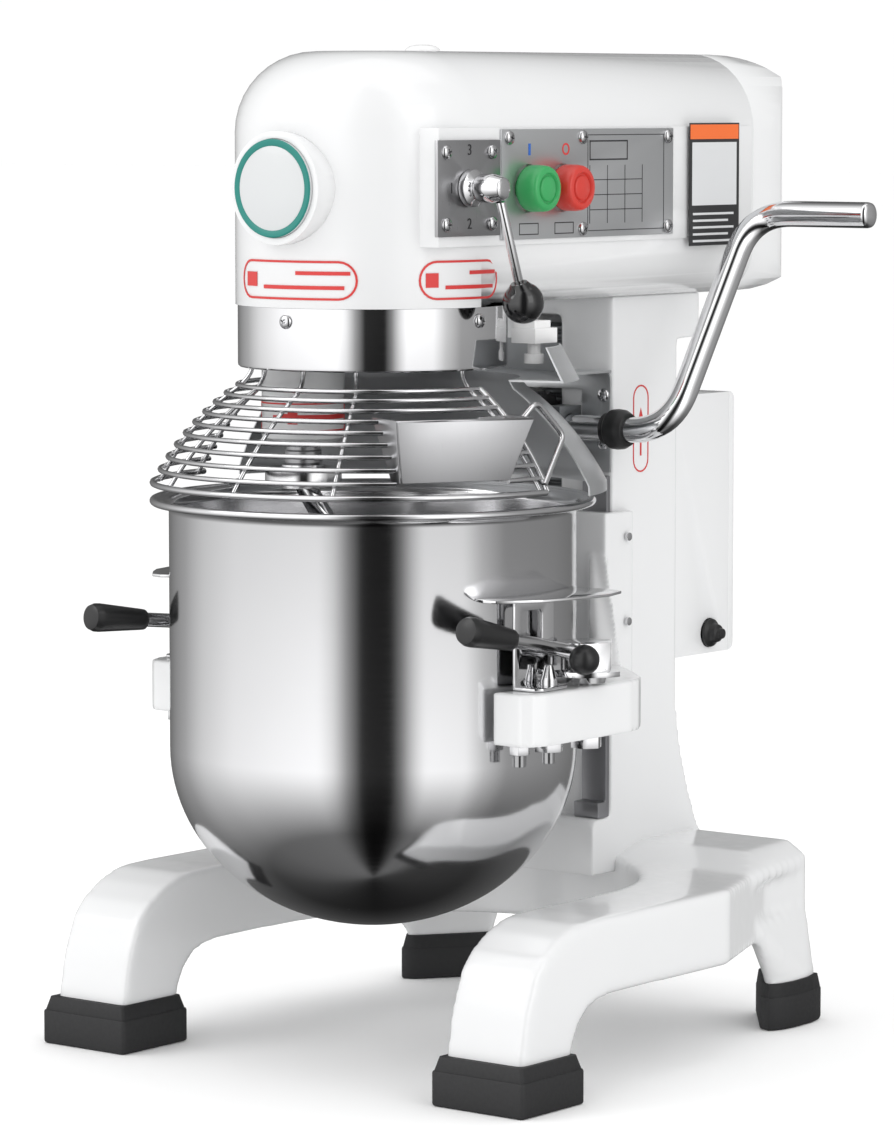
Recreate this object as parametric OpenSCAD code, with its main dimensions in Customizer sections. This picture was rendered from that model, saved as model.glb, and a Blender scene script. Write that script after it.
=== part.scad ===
// Ten-litre bench planetary mixer. Origin: on the table, under the bowl's axis.
// +X is the side with the crank and the controls, +Y the rear, +Z up.

/* [Bowl] */
// Outside radius of the straight wall
bowl_r = 122.5; // [118:0.5:123]
// Outside radius of the rolled rim
rim_r = 134; // [130:0.5:135]
// Height of the rim with the bowl raised
rim_z = 341; // [338:0.5:342]
// Height of the lowest point with the bowl raised
bowl_low_z = 82; // [78:1:90]

/* [Head] */
// Radius of the round front and half the width of the head
head_r = 82; // [82:1:86]
// Height of the top
head_top = 606; // [604:1:612]
// Rear end of the rear cover
head_back = 345; // [342:1:350]
// Joint line between head and rear cover
cover_seam = 281; // [279:1:283]
// Rounding of the upper edges
head_edge = 48; // [44:1:50]

/* [Column] */
// Half the width of the column
column_half = 54; // [54:1:55]
// Front face that carries the slide
column_front = 169; // [169:0.5:169.5]
// Rear face
column_back = 238; // [236:1:240]

/* [Base] */
// Outer side of the front legs
leg_outer = 180; // [176:1:184]
// Inner side of the front legs
leg_inner = 124; // [124:0.5:126]
// Height of the top of the legs
leg_top = 104; // [100:1:105]

/* [Guard] */
// Number of guard rings
ring_count = 10; // [10:1:12]
// Radius of the guard wire
wire_r = 1.6; // [1.4:0.1:1.8]

/* [Lift] */
// Height of the crank axis
crank_z = 375; // [374:0.5:376]
// Distance of the crank axis behind the bowl's axis
crank_y = 158; // [158:0.5:158.5]
// Pitch radius of the lift pinion
pinion_r = 22; // [21.5:0.5:22]

/* [Hidden] */
$fn = 64;

head_low = 456;
head_wall = 6;
low_edge = 28;
pad_x = head_r + 2;
gap = 0.3;

collar_r = 80.7;
collar_low = 419;
screw_z = 448;
switch_at = [74, 62];

drum_r = 68;
planet_x = -31;
planet_y = -28;
planet_e = norm([planet_x, planet_y]);
planet_gear_r = 16;
boss_r = 25;

lay_y = 85;
motor_y = 250;
gear_t = 8;
pair_r = [25, 35, 42];
main_gear_z = [502, 515, 549];
lay_gear_z = [489.7, 512.7, 526.7];
belt_z = 579;
shift_at = [56, 58];

lever_y = -17;
lever_z = 526;
lever_x = 107;
knob_at = [lever_x, 8, 459];

button_z = 525;
button_at = [41, 75];
button_r = 14;

arm_top = 235;
arm_low = 204;
slide_half = 60.5;
slide_front = 154;
slide_top = 323;
pin_at = [136, -5];
clamp_at = [138, 29];
clamp_turn = [-4, 11];
ear_t = 2;

box_half = 50;
box_z = [224, 391];
box_back = 308;
cable_at = [281, 237];

front_foot_at = [152, -65];
rear_foot = [[145.7, 209.4], [151, 218], [153, 232], [152, 252], [147, 267.7], [108, 267.7],
    [105, 256], [137.4, 213]];
rear_leg_low = [[144.2, 213.4], [148, 221], [149.6, 233], [148.6, 250], [144.4, 264.2],
    [110.8, 264.2], [108.8, 257.2], [138.6, 217]];
rear_leg_high = [[155, 180], [145, 206], [137, 265], [96, 265], [96, 250], [140, 190]];
deck_low = 58;

chute_at = [92, -88];
chute_turn = 60.6;

function arc_pts(c, r, a0, a1, n) =
    [for (i = [0:n]) let (a = a0 + (a1 - a0) * i / n) [c[0] + r * cos(a), c[1] + r * sin(a)]];

// Radius and height of the guard at t, from 0 at the top ring to 1 at the lowest one
function guard_r(t) = 81 + 51 * (1.25 * t - 0.25 * t * t);
function guard_z(t) = 408 - 58.5 * (0.75 * t + 0.25 * t * t);
function rear_shoulder(t) = [column_back + 32 * pow(t, 2.2), 225 - 120 * t];

// Bowl wall, outside when inset is 0
function bowl_turn_z() = bowl_low_z + 108;
function bowl_side(inset) = [for (i = [0:14]) let (a = -90 + i * 90 / 14)
    [max(0, (bowl_r - inset) * cos(a)), bowl_turn_z() + (108 - inset) * sin(a)]];

module from_x(x0, x1) {
    translate([x0, 0, 0]) rotate([90, 0, 90]) linear_extrude(x1 - x0) children();
}

module from_y(y0, y1) {
    translate([0, y1, 0]) rotate([90, 0, 0]) linear_extrude(y1 - y0) children();
}

module both_sides() {
    children();
    mirror([1, 0, 0]) children();
}

module block(low, high) {
    translate(low) cube(high - low);
}

module rod(from, to, r) {
    run = to - from;
    translate(from) rotate([0, acos(run[2] / norm(run)), atan2(run[1], run[0])])
        cylinder(h = norm(run), r = r, $fn = 24);
}

module gear(r, teeth, bore, h) {
    step = 360 / teeth;
    outline = [for (i = [0:teeth - 1]) each [
        (r - 2.2) * [cos(step * (i - 0.3)), sin(step * (i - 0.3))],
        r * [cos(step * (i - 0.12)), sin(step * (i - 0.12))],
        r * [cos(step * (i + 0.12)), sin(step * (i + 0.12))],
        (r - 2.2) * [cos(step * (i + 0.3)), sin(step * (i + 0.3))]]];
    difference() {
        linear_extrude(h) polygon(outline);
        translate([0, 0, -1]) cylinder(h = h + 2, r = bore);
    }
}

// ---- base ----

module front_leg() {
    side = concat([[-90, 6], [-84, 45]], arc_pts([-44, leg_top - 38], 38, 170, 90, 8),
        [[118, leg_top], [118, deck_low]], arc_pts([-10, 30], 28, 90, 180, 7), [[-40, 6]]);
    from_x(leg_inner, leg_outer) polygon(side);
}

module rear_leg() {
    translate([0, 0, 6]) linear_extrude(24) polygon(rear_leg_low);
    hull() {
        translate([0, 0, 29]) linear_extrude(1) polygon(rear_leg_low);
        translate([0, 0, deck_low]) linear_extrude(2) polygon(rear_leg_high);
    }
}

module rear_rise() {
    hull() {
        translate([0, 0, leg_top - 8]) linear_extrude(8)
            polygon([[-156, 177], [156, 177], [145, 206], [137, 266], [-137, 266], [-145, 206]]);
        translate([0, 0, leg_top]) linear_extrude(9)
            polygon([[-132, 204], [132, 204], [126, 258], [-126, 258]]);
    }
}

module base_casting() color("white") {
    difference() {
        union() {
            both_sides() front_leg();
            translate([0, 0, deck_low]) linear_extrude(leg_top - deck_low)
                polygon([[-leg_outer, 60], [leg_outer, 60], [leg_outer, 118], [145, 206],
                    [137, 266], [-137, 266], [-145, 206], [-leg_outer, 118]]);
            rear_rise();
            both_sides() rear_leg();
        }
        translate([0, 62, 0]) cylinder(h = 200, r = leg_inner, $fn = 96);
        block([-leg_inner, 0, 0], [leg_inner, 62, 200]);
        block([-64, 140, leg_top - 14], [64, 274, 200]);
    }
}

module front_feet() color("#202020") {
    both_sides() translate(concat(front_foot_at, 0)) difference() {
        block([-33.5, -30, 0], [33.5, 30, 29]);
        block([-28 - gap, -25.6, 6], [28 + gap, 27.2, 40]);
    }
}

module rear_feet() color("#202020") {
    both_sides() difference() {
        linear_extrude(29) polygon(rear_foot);
        translate([0, 0, 6]) linear_extrude(30) offset(delta = gap) polygon(rear_leg_low);
    }
}

// ---- column and head ----

module column_casting() color("white") {
    foot_z = leg_top - 14;
    outline = concat([[150, foot_z], [150, 131], [column_front, 131], [column_front, head_low],
        [263, head_low], [263, 428], [column_back, 428]],
        [for (i = [0:8]) rear_shoulder(i / 8)], [[column_back + 32, foot_z]]);
    difference() {
        from_x(-column_half, column_half) polygon(outline);
        block([-column_half + 7, column_front + 24, foot_z + 8],
            [column_half - 7, column_back - 7, head_low + 1]);
        block([-14, column_front - 1, 140], [14, column_front + 25, 444]);
    }
}

module guide_strips() color("#3c3c3c") {
    both_sides() {
        block([34, column_front - 4, 141], [column_half - 1, column_front, 345]);
        block([34, column_front - 12, 131], [column_half - 1, column_front, 141]);
    }
}

module head_front(r, low, top, edge) {
    rotate([0, 0, 180]) rotate_extrude(angle = 180, $fn = 128)
        polygon(concat([[0, low], [r, low]], arc_pts([r - edge, top - edge], edge, 0, 90, 10),
            [[0, top]]));
}

module head_tunnel(half, low, top, edge, under, y0, y1) {
    from_y(y0, y1) polygon(concat(
        arc_pts([half - under, low + under], under, -90, 0, 6),
        arc_pts([half - edge, top - edge], edge, 0, 90, 10),
        arc_pts([edge - half, top - edge], edge, 90, 180, 10),
        arc_pts([under - half, low + under], under, 180, 270, 6)));
}

module head_casting() color("white") {
    inner = head_r - head_wall;
    floor_z = head_low + 10;
    difference() {
        union() {
            head_front(head_r, head_low, head_top, head_edge);
            head_tunnel(head_r, head_low, head_top, head_edge, low_edge, 0, cover_seam);
            block([60, -43, 492], [pad_x, 276, 561]);
        }
        head_front(inner, floor_z, head_top - head_wall, head_edge - head_wall);
        head_tunnel(inner, floor_z, head_top - head_wall, head_edge - head_wall, low_edge - 6,
            0, cover_seam + 1);
        translate([0, 0, head_low - 1]) cylinder(h = 20, r = 71);
        translate([50, lever_y, lever_z]) rotate([0, 90, 0]) cylinder(h = 50, r = 5 + gap);
        for (y = button_at) {
            translate([50, y, button_z]) rotate([0, 90, 0]) cylinder(h = 50, r = 7 + gap);
            translate([pad_x - 3, y, button_z]) rotate([0, 90, 0])
                cylinder(h = 10, r = button_r + gap);
        }
    }
}

module cover_shape(half, low, top, back, edge) {
    intersection() {
        head_tunnel(half, low, top, head_edge - (head_r - half), low_edge - (head_r - half) / 2,
            cover_seam, back);
        translate([0, 0, low]) linear_extrude(top - low)
            polygon(concat([[-half, cover_seam]], [[half, cover_seam]],
                arc_pts([half - edge, back - edge], edge, 0, 90, 8),
                arc_pts([edge - half, back - edge], edge, 90, 180, 8)));
        from_x(-half, half) polygon(concat([[cover_seam, low]],
            arc_pts([back - edge, low + edge], edge, -90, 0, 8),
            arc_pts([back - edge, top - edge], edge, 0, 90, 8), [[cover_seam, top]]));
    }
}

module rear_cover() color("white") {
    difference() {
        cover_shape(head_r, head_low, head_top, head_back, 46);
        cover_shape(head_r - head_wall, head_low + head_wall, head_top - head_wall,
            head_back - head_wall, 40);
    }
}

module oil_cap() color("white") {
    translate([0, 48, head_top]) rotate_extrude()
        polygon([[0, 0], [10.5, 0], [10.5, 1.6], [8, 3.4], [4, 4.2], [0, 4.4]]);
}

module badge_rim() color("white") {
    difference() {
        translate([0, -68, button_z + 1]) rotate([90, 0, 0]) cylinder(h = 23, r = 33);
        translate([0, -89, button_z + 1]) rotate([90, 0, 0]) cylinder(h = 5, r = 29);
        head_front(head_r, head_low, head_top, head_edge);
    }
}

module badge_disc() color("silver") {
    translate([0, -89, button_z + 1]) rotate([90, 0, 0]) cylinder(h = 3.6, r = 28.8);
}

// ---- controls ----

module gear_plate() color("silver") {
    difference() {
        block([pad_x, -47, 498], [pad_x + 2.5, 12.5, 554]);
        translate([pad_x - 1, lever_y, lever_z]) rotate([0, 90, 0]) cylinder(h = 5, r = 5 + gap);
    }
}

module control_plate() color("silver") {
    difference() {
        block([pad_x, 15, 495], [pad_x + 1.5, 189, 560]);
        for (y = button_at)
            translate([pad_x - 1, y, button_z]) rotate([0, 90, 0])
                cylinder(h = 5, r = button_r + gap);
    }
}

module pan_screw() {
    rotate([0, 90, 0]) difference() {
        cylinder(h = 2.4, r1 = 4.4, r2 = 3.2, $fn = 32);
        translate([-0.5, -2.2, 1.2]) cube([1, 4.4, 2]);
        translate([-2.2, -0.5, 1.2]) cube([4.4, 1, 2]);
    }
}

module pan_screws() color("silver") {
    for (y = [-39, 4.5])
        for (z = [505, 547])
            translate([pad_x + 2.5, y, z]) pan_screw();
    for (spot = [[22, 555], [95, 555], [183, 555], [95, 500], [183, 500]])
        translate([pad_x + 1.5, spot[0], spot[1]]) pan_screw();
    for (turn = [-90, 0, 180])
        rotate([0, 0, turn]) translate([collar_r, 0, screw_z]) pan_screw();
    both_sides() for (z = [365, 395])
        translate([48.6, column_front - 1.5, z]) rotate([0, 0, -90]) pan_screw();
    both_sides() for (z = [box_z[0] + 6, box_z[1] - 6])
        translate([44, box_back, z]) rotate([0, 0, 90]) pan_screw();
}

module button(y) {
    translate([pad_x + 1.8, y, button_z]) rotate([0, 90, 0]) {
        rotate_extrude() polygon([[0, 0], [13, 0], [button_r, 2], [button_r, 12], [12.6, 14.5],
            [10, 15.5], [9, 14.3], [8, 14.3], [7, 15.5], [0, 15.5]]);
        translate([0, 0, -22]) cylinder(h = 22, r = 7);
    }
}

module start_button() color("green") button(button_at[0]);

module stop_button() color("red") button(button_at[1]);

module lever_hub() color("silver") {
    translate([0, lever_y, lever_z]) rotate([0, 90, 0]) {
        translate([0, 0, 62]) cylinder(h = 6, r = 16);
        translate([0, 0, 68]) cylinder(h = pad_x - 65.3, r = 5);
        translate([0, 0, pad_x + 2.7]) rotate_extrude() polygon([[0, 0], [11, 0], [11, 4], [6.5, 6],
            [6.5, 8], [8.5, 9], [8.5, 18], [6.5, 25], [4.5, 26], [0, 26]]);
    }
}

module lever_rod() color("silver") {
    axis = [lever_x, lever_y, lever_z];
    run = (knob_at - axis) / norm(knob_at - axis);
    difference() {
        rod(axis + run * 6, knob_at - run * 10, 2.8);
        translate([lever_x - 10, lever_y, lever_z]) rotate([0, 90, 0]) cylinder(h = 20, r = 8.5);
    }
}

module lever_knob() color("black") {
    axis = [lever_x, lever_y, lever_z];
    run = (knob_at - axis) / norm(knob_at - axis);
    difference() {
        translate(knob_at) sphere(r = 12.6);
        rod(knob_at - run * 20, knob_at - run * 10, 2.8);
    }
}

// ---- collar, guard and shield ----

module collar_ring() color("silver") {
    rotate_extrude($fn = 128) polygon([[74, collar_low], [collar_r, collar_low],
        [collar_r, head_low], [79, head_low], [79, collar_low + 1.6], [74, collar_low + 1.6]]);
}

module switch_block() color("white") {
    difference() {
        union() {
            block([66, 50, 432.5], [84, 72, 441.5]);
            block([66, 52, 441.5], [82, 68, 446]);
            block([66, 52, 446], [70, 68, head_low]);
        }
        translate([switch_at[0], switch_at[1], 431]) cylinder(h = 9.5, r = 4 + gap);
    }
}

module switch_plunger() color("white") {
    translate([switch_at[0], switch_at[1], 420]) cylinder(h = 6, r = 6);
    translate([switch_at[0], switch_at[1], 426]) cylinder(h = 10, r = 4);
}

module shield_sheet(t) {
    steps = 8;
    outer = [for (i = [0:steps]) [guard_r(i / steps) + 7 + t, guard_z(i / steps) + 1]];
    inner = [for (i = [steps:-1:0]) [guard_r(i / steps) + 7, guard_z(i / steps) + 1]];
    top_r = guard_r(0) + 7;
    rotate([0, 0, 14]) rotate_extrude(angle = 152, $fn = 128)
        polygon(concat([[top_r, 412.5], [122, 412.5], [111.4, 432], [113, 432], [124, 411],
            [top_r + t, 411]], outer, [[guard_r(1) + 7 + t, 345], [guard_r(1) + 7, 345]], inner));
}

module rear_shield() color("silver") shield_sheet(1.4);

module shield_bracket() color("silver") {
    difference() {
        from_y(column_front - 1.5, column_front) polygon(concat(
            [[53.5, 347], [53.5, 405]], arc_pts([49.5, 405], 4, 0, 90, 5),
            arc_pts([-49.5, 405], 4, 90, 180, 5), [[-53.5, 347]]));
        block([-32, column_front - 2, 346], [32, column_front + 1, 398]);
        block([30, column_front - 2, 366], [44, column_front + 1, 381.5]);
    }
    both_sides() block([31, 112, 409], [53.5, column_front, 410.5]);
}

module ring_wire(t, a0, a1) {
    rotate([0, 0, a0]) rotate_extrude(angle = a1 - a0, $fn = 96)
        translate([guard_r(t), guard_z(t)]) circle(r = wire_r, $fn = 16);
}

module guard_rib(turn) {
    steps = 9;
    line = concat([[71, 423], [71, 415]],
        [for (i = [0:steps]) [guard_r(i / steps) - 3.2, guard_z(i / steps) - 1]]);
    back = [for (i = [len(line) - 1:-1:0]) line[i] + [2.2, 1.6]];
    rotate([0, 0, turn]) from_y(-1.4, 1.4) polygon(concat(line, back));
}

module guard_cage() color("silver") {
    for (i = [0:ring_count - 1]) {
        t = i / (ring_count - 1);
        cut = guard_z(t) < 395 && guard_z(t) > 356;
        if (cut) {
            ring_wire(t, -179, -45);
            ring_wire(t, -13, -1);
        } else ring_wire(t, -179, -1);
    }
    for (turn = [-176, -147, -115, -87, -60, -3.5])
        guard_rib(turn);
    rod([118, -8, 392], [121, 2, 402], 1.8);
    rod([121, 2, 402], [124, 26, 380], 1.8);
    rod([124, 26, 380], [132, -2, 356], 1.8);
    for (p = [[121, 2, 402], [124, 26, 380]])
        translate(p) sphere(r = 1.8, $fn = 24);
}

module feed_chute() color("silver") {
    translate([chute_at[0], chute_at[1], 0]) rotate([0, 0, chute_turn]) {
        from_y(-1.4, 0) polygon([[0, 358], [67, 358], [83, 394], [-3, 394]]);
        from_x(-1.4, 0) polygon([[0, 358], [12, 358], [38, 394], [0, 394]]);
        from_x(67, 68.4) polygon([[0, 358], [10, 358], [34, 394], [0, 394]]);
    }
}

module guard_runner() color("white") {
    difference() {
        translate([0, 0, collar_low + 1.9]) cylinder(h = 9, r = 78.4, $fn = 128);
        translate([0, 0, collar_low]) cylinder(h = 20, r = 72, $fn = 128);
    }
}

// ---- planetary drive ----

module planetary_drum() color("white") {
    difference() {
        union() {
            translate([0, 0, 424]) cylinder(h = 28, r = drum_r, $fn = 96);
            translate([planet_x, planet_y, 374]) cylinder(h = 51, r = boss_r);
        }
        translate([planet_x, planet_y, 370]) cylinder(h = 90, r = 11 + gap);
    }
}

module main_shaft() color("gray") {
    translate([0, 0, 452]) cylinder(h = 122, r = 12);
}

module main_gears() color("gray") {
    for (i = [0:2])
        translate([0, 0, main_gear_z[i]])
            gear(lay_y - pair_r[i] - gap / 2, round((lay_y - pair_r[i]) / 1.5), 12, gear_t);
}

module ring_gear() color("gray") {
    difference() {
        translate([0, 0, head_low]) cylinder(h = 10, r = 71);
        translate([0, 0, head_low - 1]) cylinder(h = 12, r = planet_e + planet_gear_r + gap);
    }
}

module agitator_shaft() color("silver") {
    translate([planet_x, planet_y, 360]) cylinder(h = 106, r = 11);
}

module planet_pinion() color("gray") {
    translate([planet_x, planet_y, 457]) gear(planet_gear_r, 16, 11, 8);
}

// Round bar along a row of points; across is never parallel to the bar
module sweep(points, r, sides, across) {
    count = len(points);
    rings = [for (i = [0:count - 1]) let (
        d = points[min(i + 1, count - 1)] - points[max(i - 1, 0)],
        w = d / norm(d), u0 = cross(w, across), u = u0 / norm(u0), v = cross(w, u))
        for (k = [0:sides - 1]) let (a = 360 * k / sides)
            points[i] + r * (cos(a) * u + sin(a) * v)];
    walls = [for (i = [0:count - 2]) for (k = [0:sides - 1])
        let (a = i * sides + k, b = i * sides + (k + 1) % sides)
        each [[a, b + sides, b], [a, a + sides, b + sides]]];
    polyhedron(rings, concat([[for (k = [0:sides - 1]) k]], walls,
        [[for (k = [sides - 1:-1:0]) (count - 1) * sides + k]]), convexity = 6);
}

module dough_hook() color("silver") {
    points = [for (i = [0:26]) let (t = i / 26)
        [planet_x + 44 * sin(180 * t) * cos(300 * t), planet_y + 44 * sin(180 * t) * sin(300 * t),
            350 - 240 * t]];
    translate([planet_x, planet_y, 346]) cylinder(h = 14, r = 13);
    translate([planet_x, planet_y, 350]) cylinder(h = 8, r = 23);
    sweep(concat([[planet_x, planet_y, 356]], points), 6.5, 12, [0.2, 0.97, 0.1]);
}

// ---- motor, belt and gearbox ----

module motor_body() color("gray") {
    difference() {
        translate([0, motor_y, 0]) {
            translate([0, 0, 467]) cylinder(h = 90, r = 47);
            for (i = [0:17])
                rotate([0, 0, 20 * i]) block([44, -1.2, 472], [50, 1.2, 552]);
            translate([0, 0, 466]) cylinder(h = 3, r = 52);
        }
        translate([0, motor_y, 460]) cylinder(h = 120, r = 7 + gap);
    }
}

module motor_shaft() color("silver") {
    translate([0, motor_y, 470]) cylinder(h = 122, r = 7);
}

module pulley(r, bore) {
    difference() {
        rotate_extrude() polygon([[0, 0], [r + 2, 0], [r + 2, 1.5], [r - 1, 3.5], [r - 1, 10.5],
            [r + 2, 12.5], [r + 2, 14], [0, 14]]);
        translate([0, 0, -1]) cylinder(h = 20, r = bore);
    }
}

module motor_pulley() color("gray") translate([0, motor_y, belt_z]) pulley(17, 7);

module lay_shaft() color("silver") translate([0, lay_y, 468]) cylinder(h = 126, r = 8);

module driven_pulley() color("gray") translate([0, lay_y, belt_z]) pulley(36, 8);

module belt_loop(grow) {
    hull() {
        translate([0, motor_y]) circle(r = 16 + gap + grow);
        translate([0, lay_y]) circle(r = 35 + gap + grow);
    }
}

module drive_belt() color("#1a1a1a") {
    translate([0, 0, belt_z + 4]) linear_extrude(6) difference() {
        belt_loop(5);
        belt_loop(0);
    }
}

module gear_cluster() color("gray") {
    translate([0, lay_y, 0]) {
        for (i = [0:2])
            translate([0, 0, lay_gear_z[i]])
                gear(pair_r[i] - gap / 2, round(pair_r[i] / 1.5), 8 + gap, gear_t);
        difference() {
            translate([0, 0, lay_gear_z[0]]) cylinder(h = 39, r = 13);
            translate([0, 0, 480]) cylinder(h = 60, r = 8 + gap);
        }
    }
}

module shift_rod() color("silver") translate(concat(shift_at, 467.3)) cylinder(h = 98, r = 5);

module shift_fork() color("gray") {
    fork_z = lay_gear_z[0] + gear_t + 3.5;
    difference() {
        union() {
            translate(concat(shift_at, fork_z)) cylinder(h = 16, r = 9);
            translate([0, lay_y, fork_z]) cylinder(h = 5, r = 19);
            hull() {
                translate([52, 60, fork_z]) cylinder(h = 5, r = 5, $fn = 32);
                translate([14, 79, fork_z]) cylinder(h = 5, r = 7, $fn = 32);
            }
        }
        translate([0, lay_y, fork_z - 1]) cylinder(h = 8, r = 13 + 2 * gap);
        block([-30, lay_y - 13.6, fork_z - 1], [0, lay_y + 13.6, fork_z + 7]);
        translate(concat(shift_at, fork_z - 1)) cylinder(h = 20, r = 5 + gap);
    }
}

// ---- electrical box ----

module electrical_box() color("white") {
    difference() {
        block([-box_half, column_back, box_z[0]], [box_half, box_back - 6, box_z[1]]);
        block([-box_half + 3, column_back + 3, box_z[0] + 3],
            [box_half - 3, box_back, box_z[1] - 3]);
        translate([box_half - 8, 281, 237]) rotate([0, 90, 0]) cylinder(h = 12, r = 9 + gap);
        translate([-box_half - 1, cable_at[0], cable_at[1]]) rotate([0, 90, 0]) cylinder(h = 6, r = 8);
    }
}

module box_lid() color("white") {
    edge = 5;
    from_x(-box_half, box_half) polygon(concat([[box_back - 6, box_z[0]]],
        arc_pts([box_back - edge, box_z[0] + edge], edge, -90, 0, 4),
        arc_pts([box_back - edge, box_z[1] - edge], edge, 0, 90, 4),
        [[box_back - 6, box_z[1]]]));
}

module reset_button() color("#202020") {
    translate([box_half + 0.3, 281, 237]) rotate([0, 90, 0]) {
        rotate_extrude() polygon([[0, 0], [9, 0], [9, 1.6], [6.5, 3.5], [5.5, 7], [3.6, 8],
            [3.2, 10.5], [0, 11]]);
        translate([0, 0, -9]) cylinder(h = 9, r = 4);
    }
}

module contactor() color("gray") {
    block([-30, column_back + 3, 290], [15, column_back + 45, 360]);
    block([-36, column_back + 3, 282], [21, column_back + 8, 290]);
    block([-36, column_back + 3, 360], [21, column_back + 8, 366]);
    both_sides() block([34, column_back + 3, 270], [44, column_back + 20, 360]);
}

// ---- bowl, carrier and lift ----

module bowl() color("silver") {
    wall = 2;
    straight = [[bowl_r, rim_z - 6], [bowl_r + 3, rim_z - 2.5], [rim_r, rim_z - 2.5],
        [rim_r, rim_z], [bowl_r + 1.5, rim_z], [bowl_r - wall, rim_z - 5]];
    rotate_extrude($fn = 128)
        polygon(concat(bowl_side(0), straight, [for (i = [14:-1:0]) bowl_side(wall)[i]]));
}

module bowl_brackets() color("silver") {
    ear_z = arm_top + 0.2;
    both_sides() difference() {
        union() {
            translate([0, 0, 288]) linear_extrude(2) polygon([[112, -46], [124, -53], [134, -50],
                [150, -28], [160, 22], [155, 43], [146, 46], [112, 46]]);
            block([126.5, -28, ear_z], [128.5, 10, 288]);
            block([126.5, -28, ear_z], [146, 6, ear_z + ear_t]);
        }
        translate([0, 0, 280]) cylinder(h = 20, r = bowl_r, $fn = 128);
        block([120, -22, 256], [135, -1, 281]);
        translate([pin_at[0], pin_at[1], 230]) cylinder(h = 20, r = 5.6);
    }
}

module carrier_casting() color("white") {
    difference() {
        union() {
            translate([0, 0, arm_low]) linear_extrude(arm_top - arm_low) polygon([[-126, -40],
                [-142, -40], [-151, -26], [-151, 58], [-146, 76], [-slide_half, 152],
                [-slide_half, 184], [slide_half, 184], [slide_half, 152], [146, 76], [151, 58],
                [151, -26], [142, -40], [126, -40]]);
            block([-slide_half, slide_front, arm_low], [slide_half, 184, slide_top]);
            both_sides() hull() {
                block([34, slide_front - 4, arm_low + 10], [slide_half, slide_front + 8, 300]);
                block([80, 118, arm_low + 10], [100, 130, arm_top + 6]);
            }
        }
        translate([0, 0, arm_low - 1]) cylinder(h = 130, r = 127, $fn = 128);
        block([-100, -60, 0], [100, 40, 400]);
        block([-column_half - gap, column_front - 4 - gap, 0],
            [column_half + gap, 300, slide_top + 1]);
        both_sides() translate([pin_at[0], pin_at[1], arm_top - 12]) cylinder(h = 13, r = 5);
        both_sides() translate([clamp_at[0], clamp_at[1], arm_low - 1])
            cylinder(h = 50, r = 6 + gap);
    }
}

module hex_nut(at, r) {
    translate([at[0], at[1], arm_low - 6]) difference() {
        cylinder(h = 6, r = r, $fn = 6);
        translate([0, 0, -1]) cylinder(h = 8, r = 4);
    }
    translate([at[0], at[1], arm_low - 13]) cylinder(h = 13, r = 4);
}

module carrier_studs() color("silver") {
    both_sides() {
        translate([pin_at[0], pin_at[1], arm_top - 12]) cylinder(h = 17, r = 5);
        translate([pin_at[0], pin_at[1], arm_top + 5]) cylinder(h = 9, r1 = 5, r2 = 2.4);
        hex_nut(pin_at, 9);
        hex_nut([132, -28], 6.5);
        for (z = [254, 307])
            translate([slide_half, 176, z]) rotate([0, 90, 0]) cylinder(h = 2.4, r = 2.6);
    }
}

module lift_rack() color("gray") {
    rack_y = crank_y + pinion_r + gap;
    teeth = [for (i = [22:45]) each [[rack_y + 2, 208 + 5 * i], [rack_y, 209.2 + 5 * i],
        [rack_y, 210.8 + 5 * i], [rack_y + 2, 212 + 5 * i]]];
    front = column_front - 4 - gap;
    from_x(-9, 9) polygon(concat([[rack_y + 9, 206], [front, 206], [front, 318], [rack_y, 318]],
        teeth, [[rack_y + 9, 438]]));
}

module clamp_frame(side, turn) {
    mirror([side < 0 ? 1 : 0, 0, 0]) translate([clamp_at[0], clamp_at[1], 0])
        rotate([0, 0, turn]) children();
}

module clamp_block(side, turn) {
    clamp_frame(side, turn) {
        translate([0, 0, arm_low - 7]) cylinder(h = 50, r = 6);
        translate([0, 0, arm_low - 7]) cylinder(h = 6.7, r = 9.5, $fn = 6);
        translate([0, 0, arm_top + 1]) cylinder(h = 5, r = 12);
        difference() {
            translate([0, 0, arm_top + 6]) cylinder(h = 3, r = 26, $fn = 64);
            block([-30, 0, arm_top], [30, 30, arm_top + 12]);
            block([-30, -30, arm_top], [-6.5, 30, arm_top + 12]);
        }
        translate([0, 0, arm_top + 9]) rotate([0, 0, 8]) cylinder(h = 16, r = 17, $fn = 6);
    }
}

module clamp_block_right() color("silver") clamp_block(1, clamp_turn[0]);

module clamp_block_left() color("silver") clamp_block(-1, clamp_turn[1]);

module clamp_lever(side, turn, rise) {
    clamp_frame(side, turn) {
        translate([0, 0, arm_top + 17]) rotate([90 - rise, 0, 0]) difference() {
            translate([0, 0, 12]) cylinder(h = 58, r = 4.5, $fn = 32);
            translate([0, 0, 12]) cylinder(h = 4.5, r = 6, $fn = 32);
        }
        rotate([0, 0, 38]) translate([0, -14.5, arm_top + 17]) rotate([90, 0, 0])
            cylinder(h = 4, r = 3, $fn = 32);
    }
}

module clamp_lever_right() color("silver") clamp_lever(1, clamp_turn[0], 12);

module clamp_lever_left() color("silver") clamp_lever(-1, clamp_turn[1], 6);

module clamp_grip(side, turn, rise) {
    clamp_frame(side, turn) {
        translate([0, 0, arm_top + 17]) rotate([90 - rise, 0, 0]) translate([0, 0, 60])
            difference() {
                rotate_extrude() polygon([[0, 0], [6.5, 0], [9, 44], [8, 49], [5, 50], [0, 50]]);
                translate([0, 0, -1]) cylinder(h = 11, r = 4.5, $fn = 32);
            }
        rotate([0, 0, 38]) translate([0, -27, arm_top + 17]) sphere(r = 9);
    }
}

module clamp_grip_right() color("#1a1a1a") clamp_grip(1, clamp_turn[0], 12);

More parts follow.
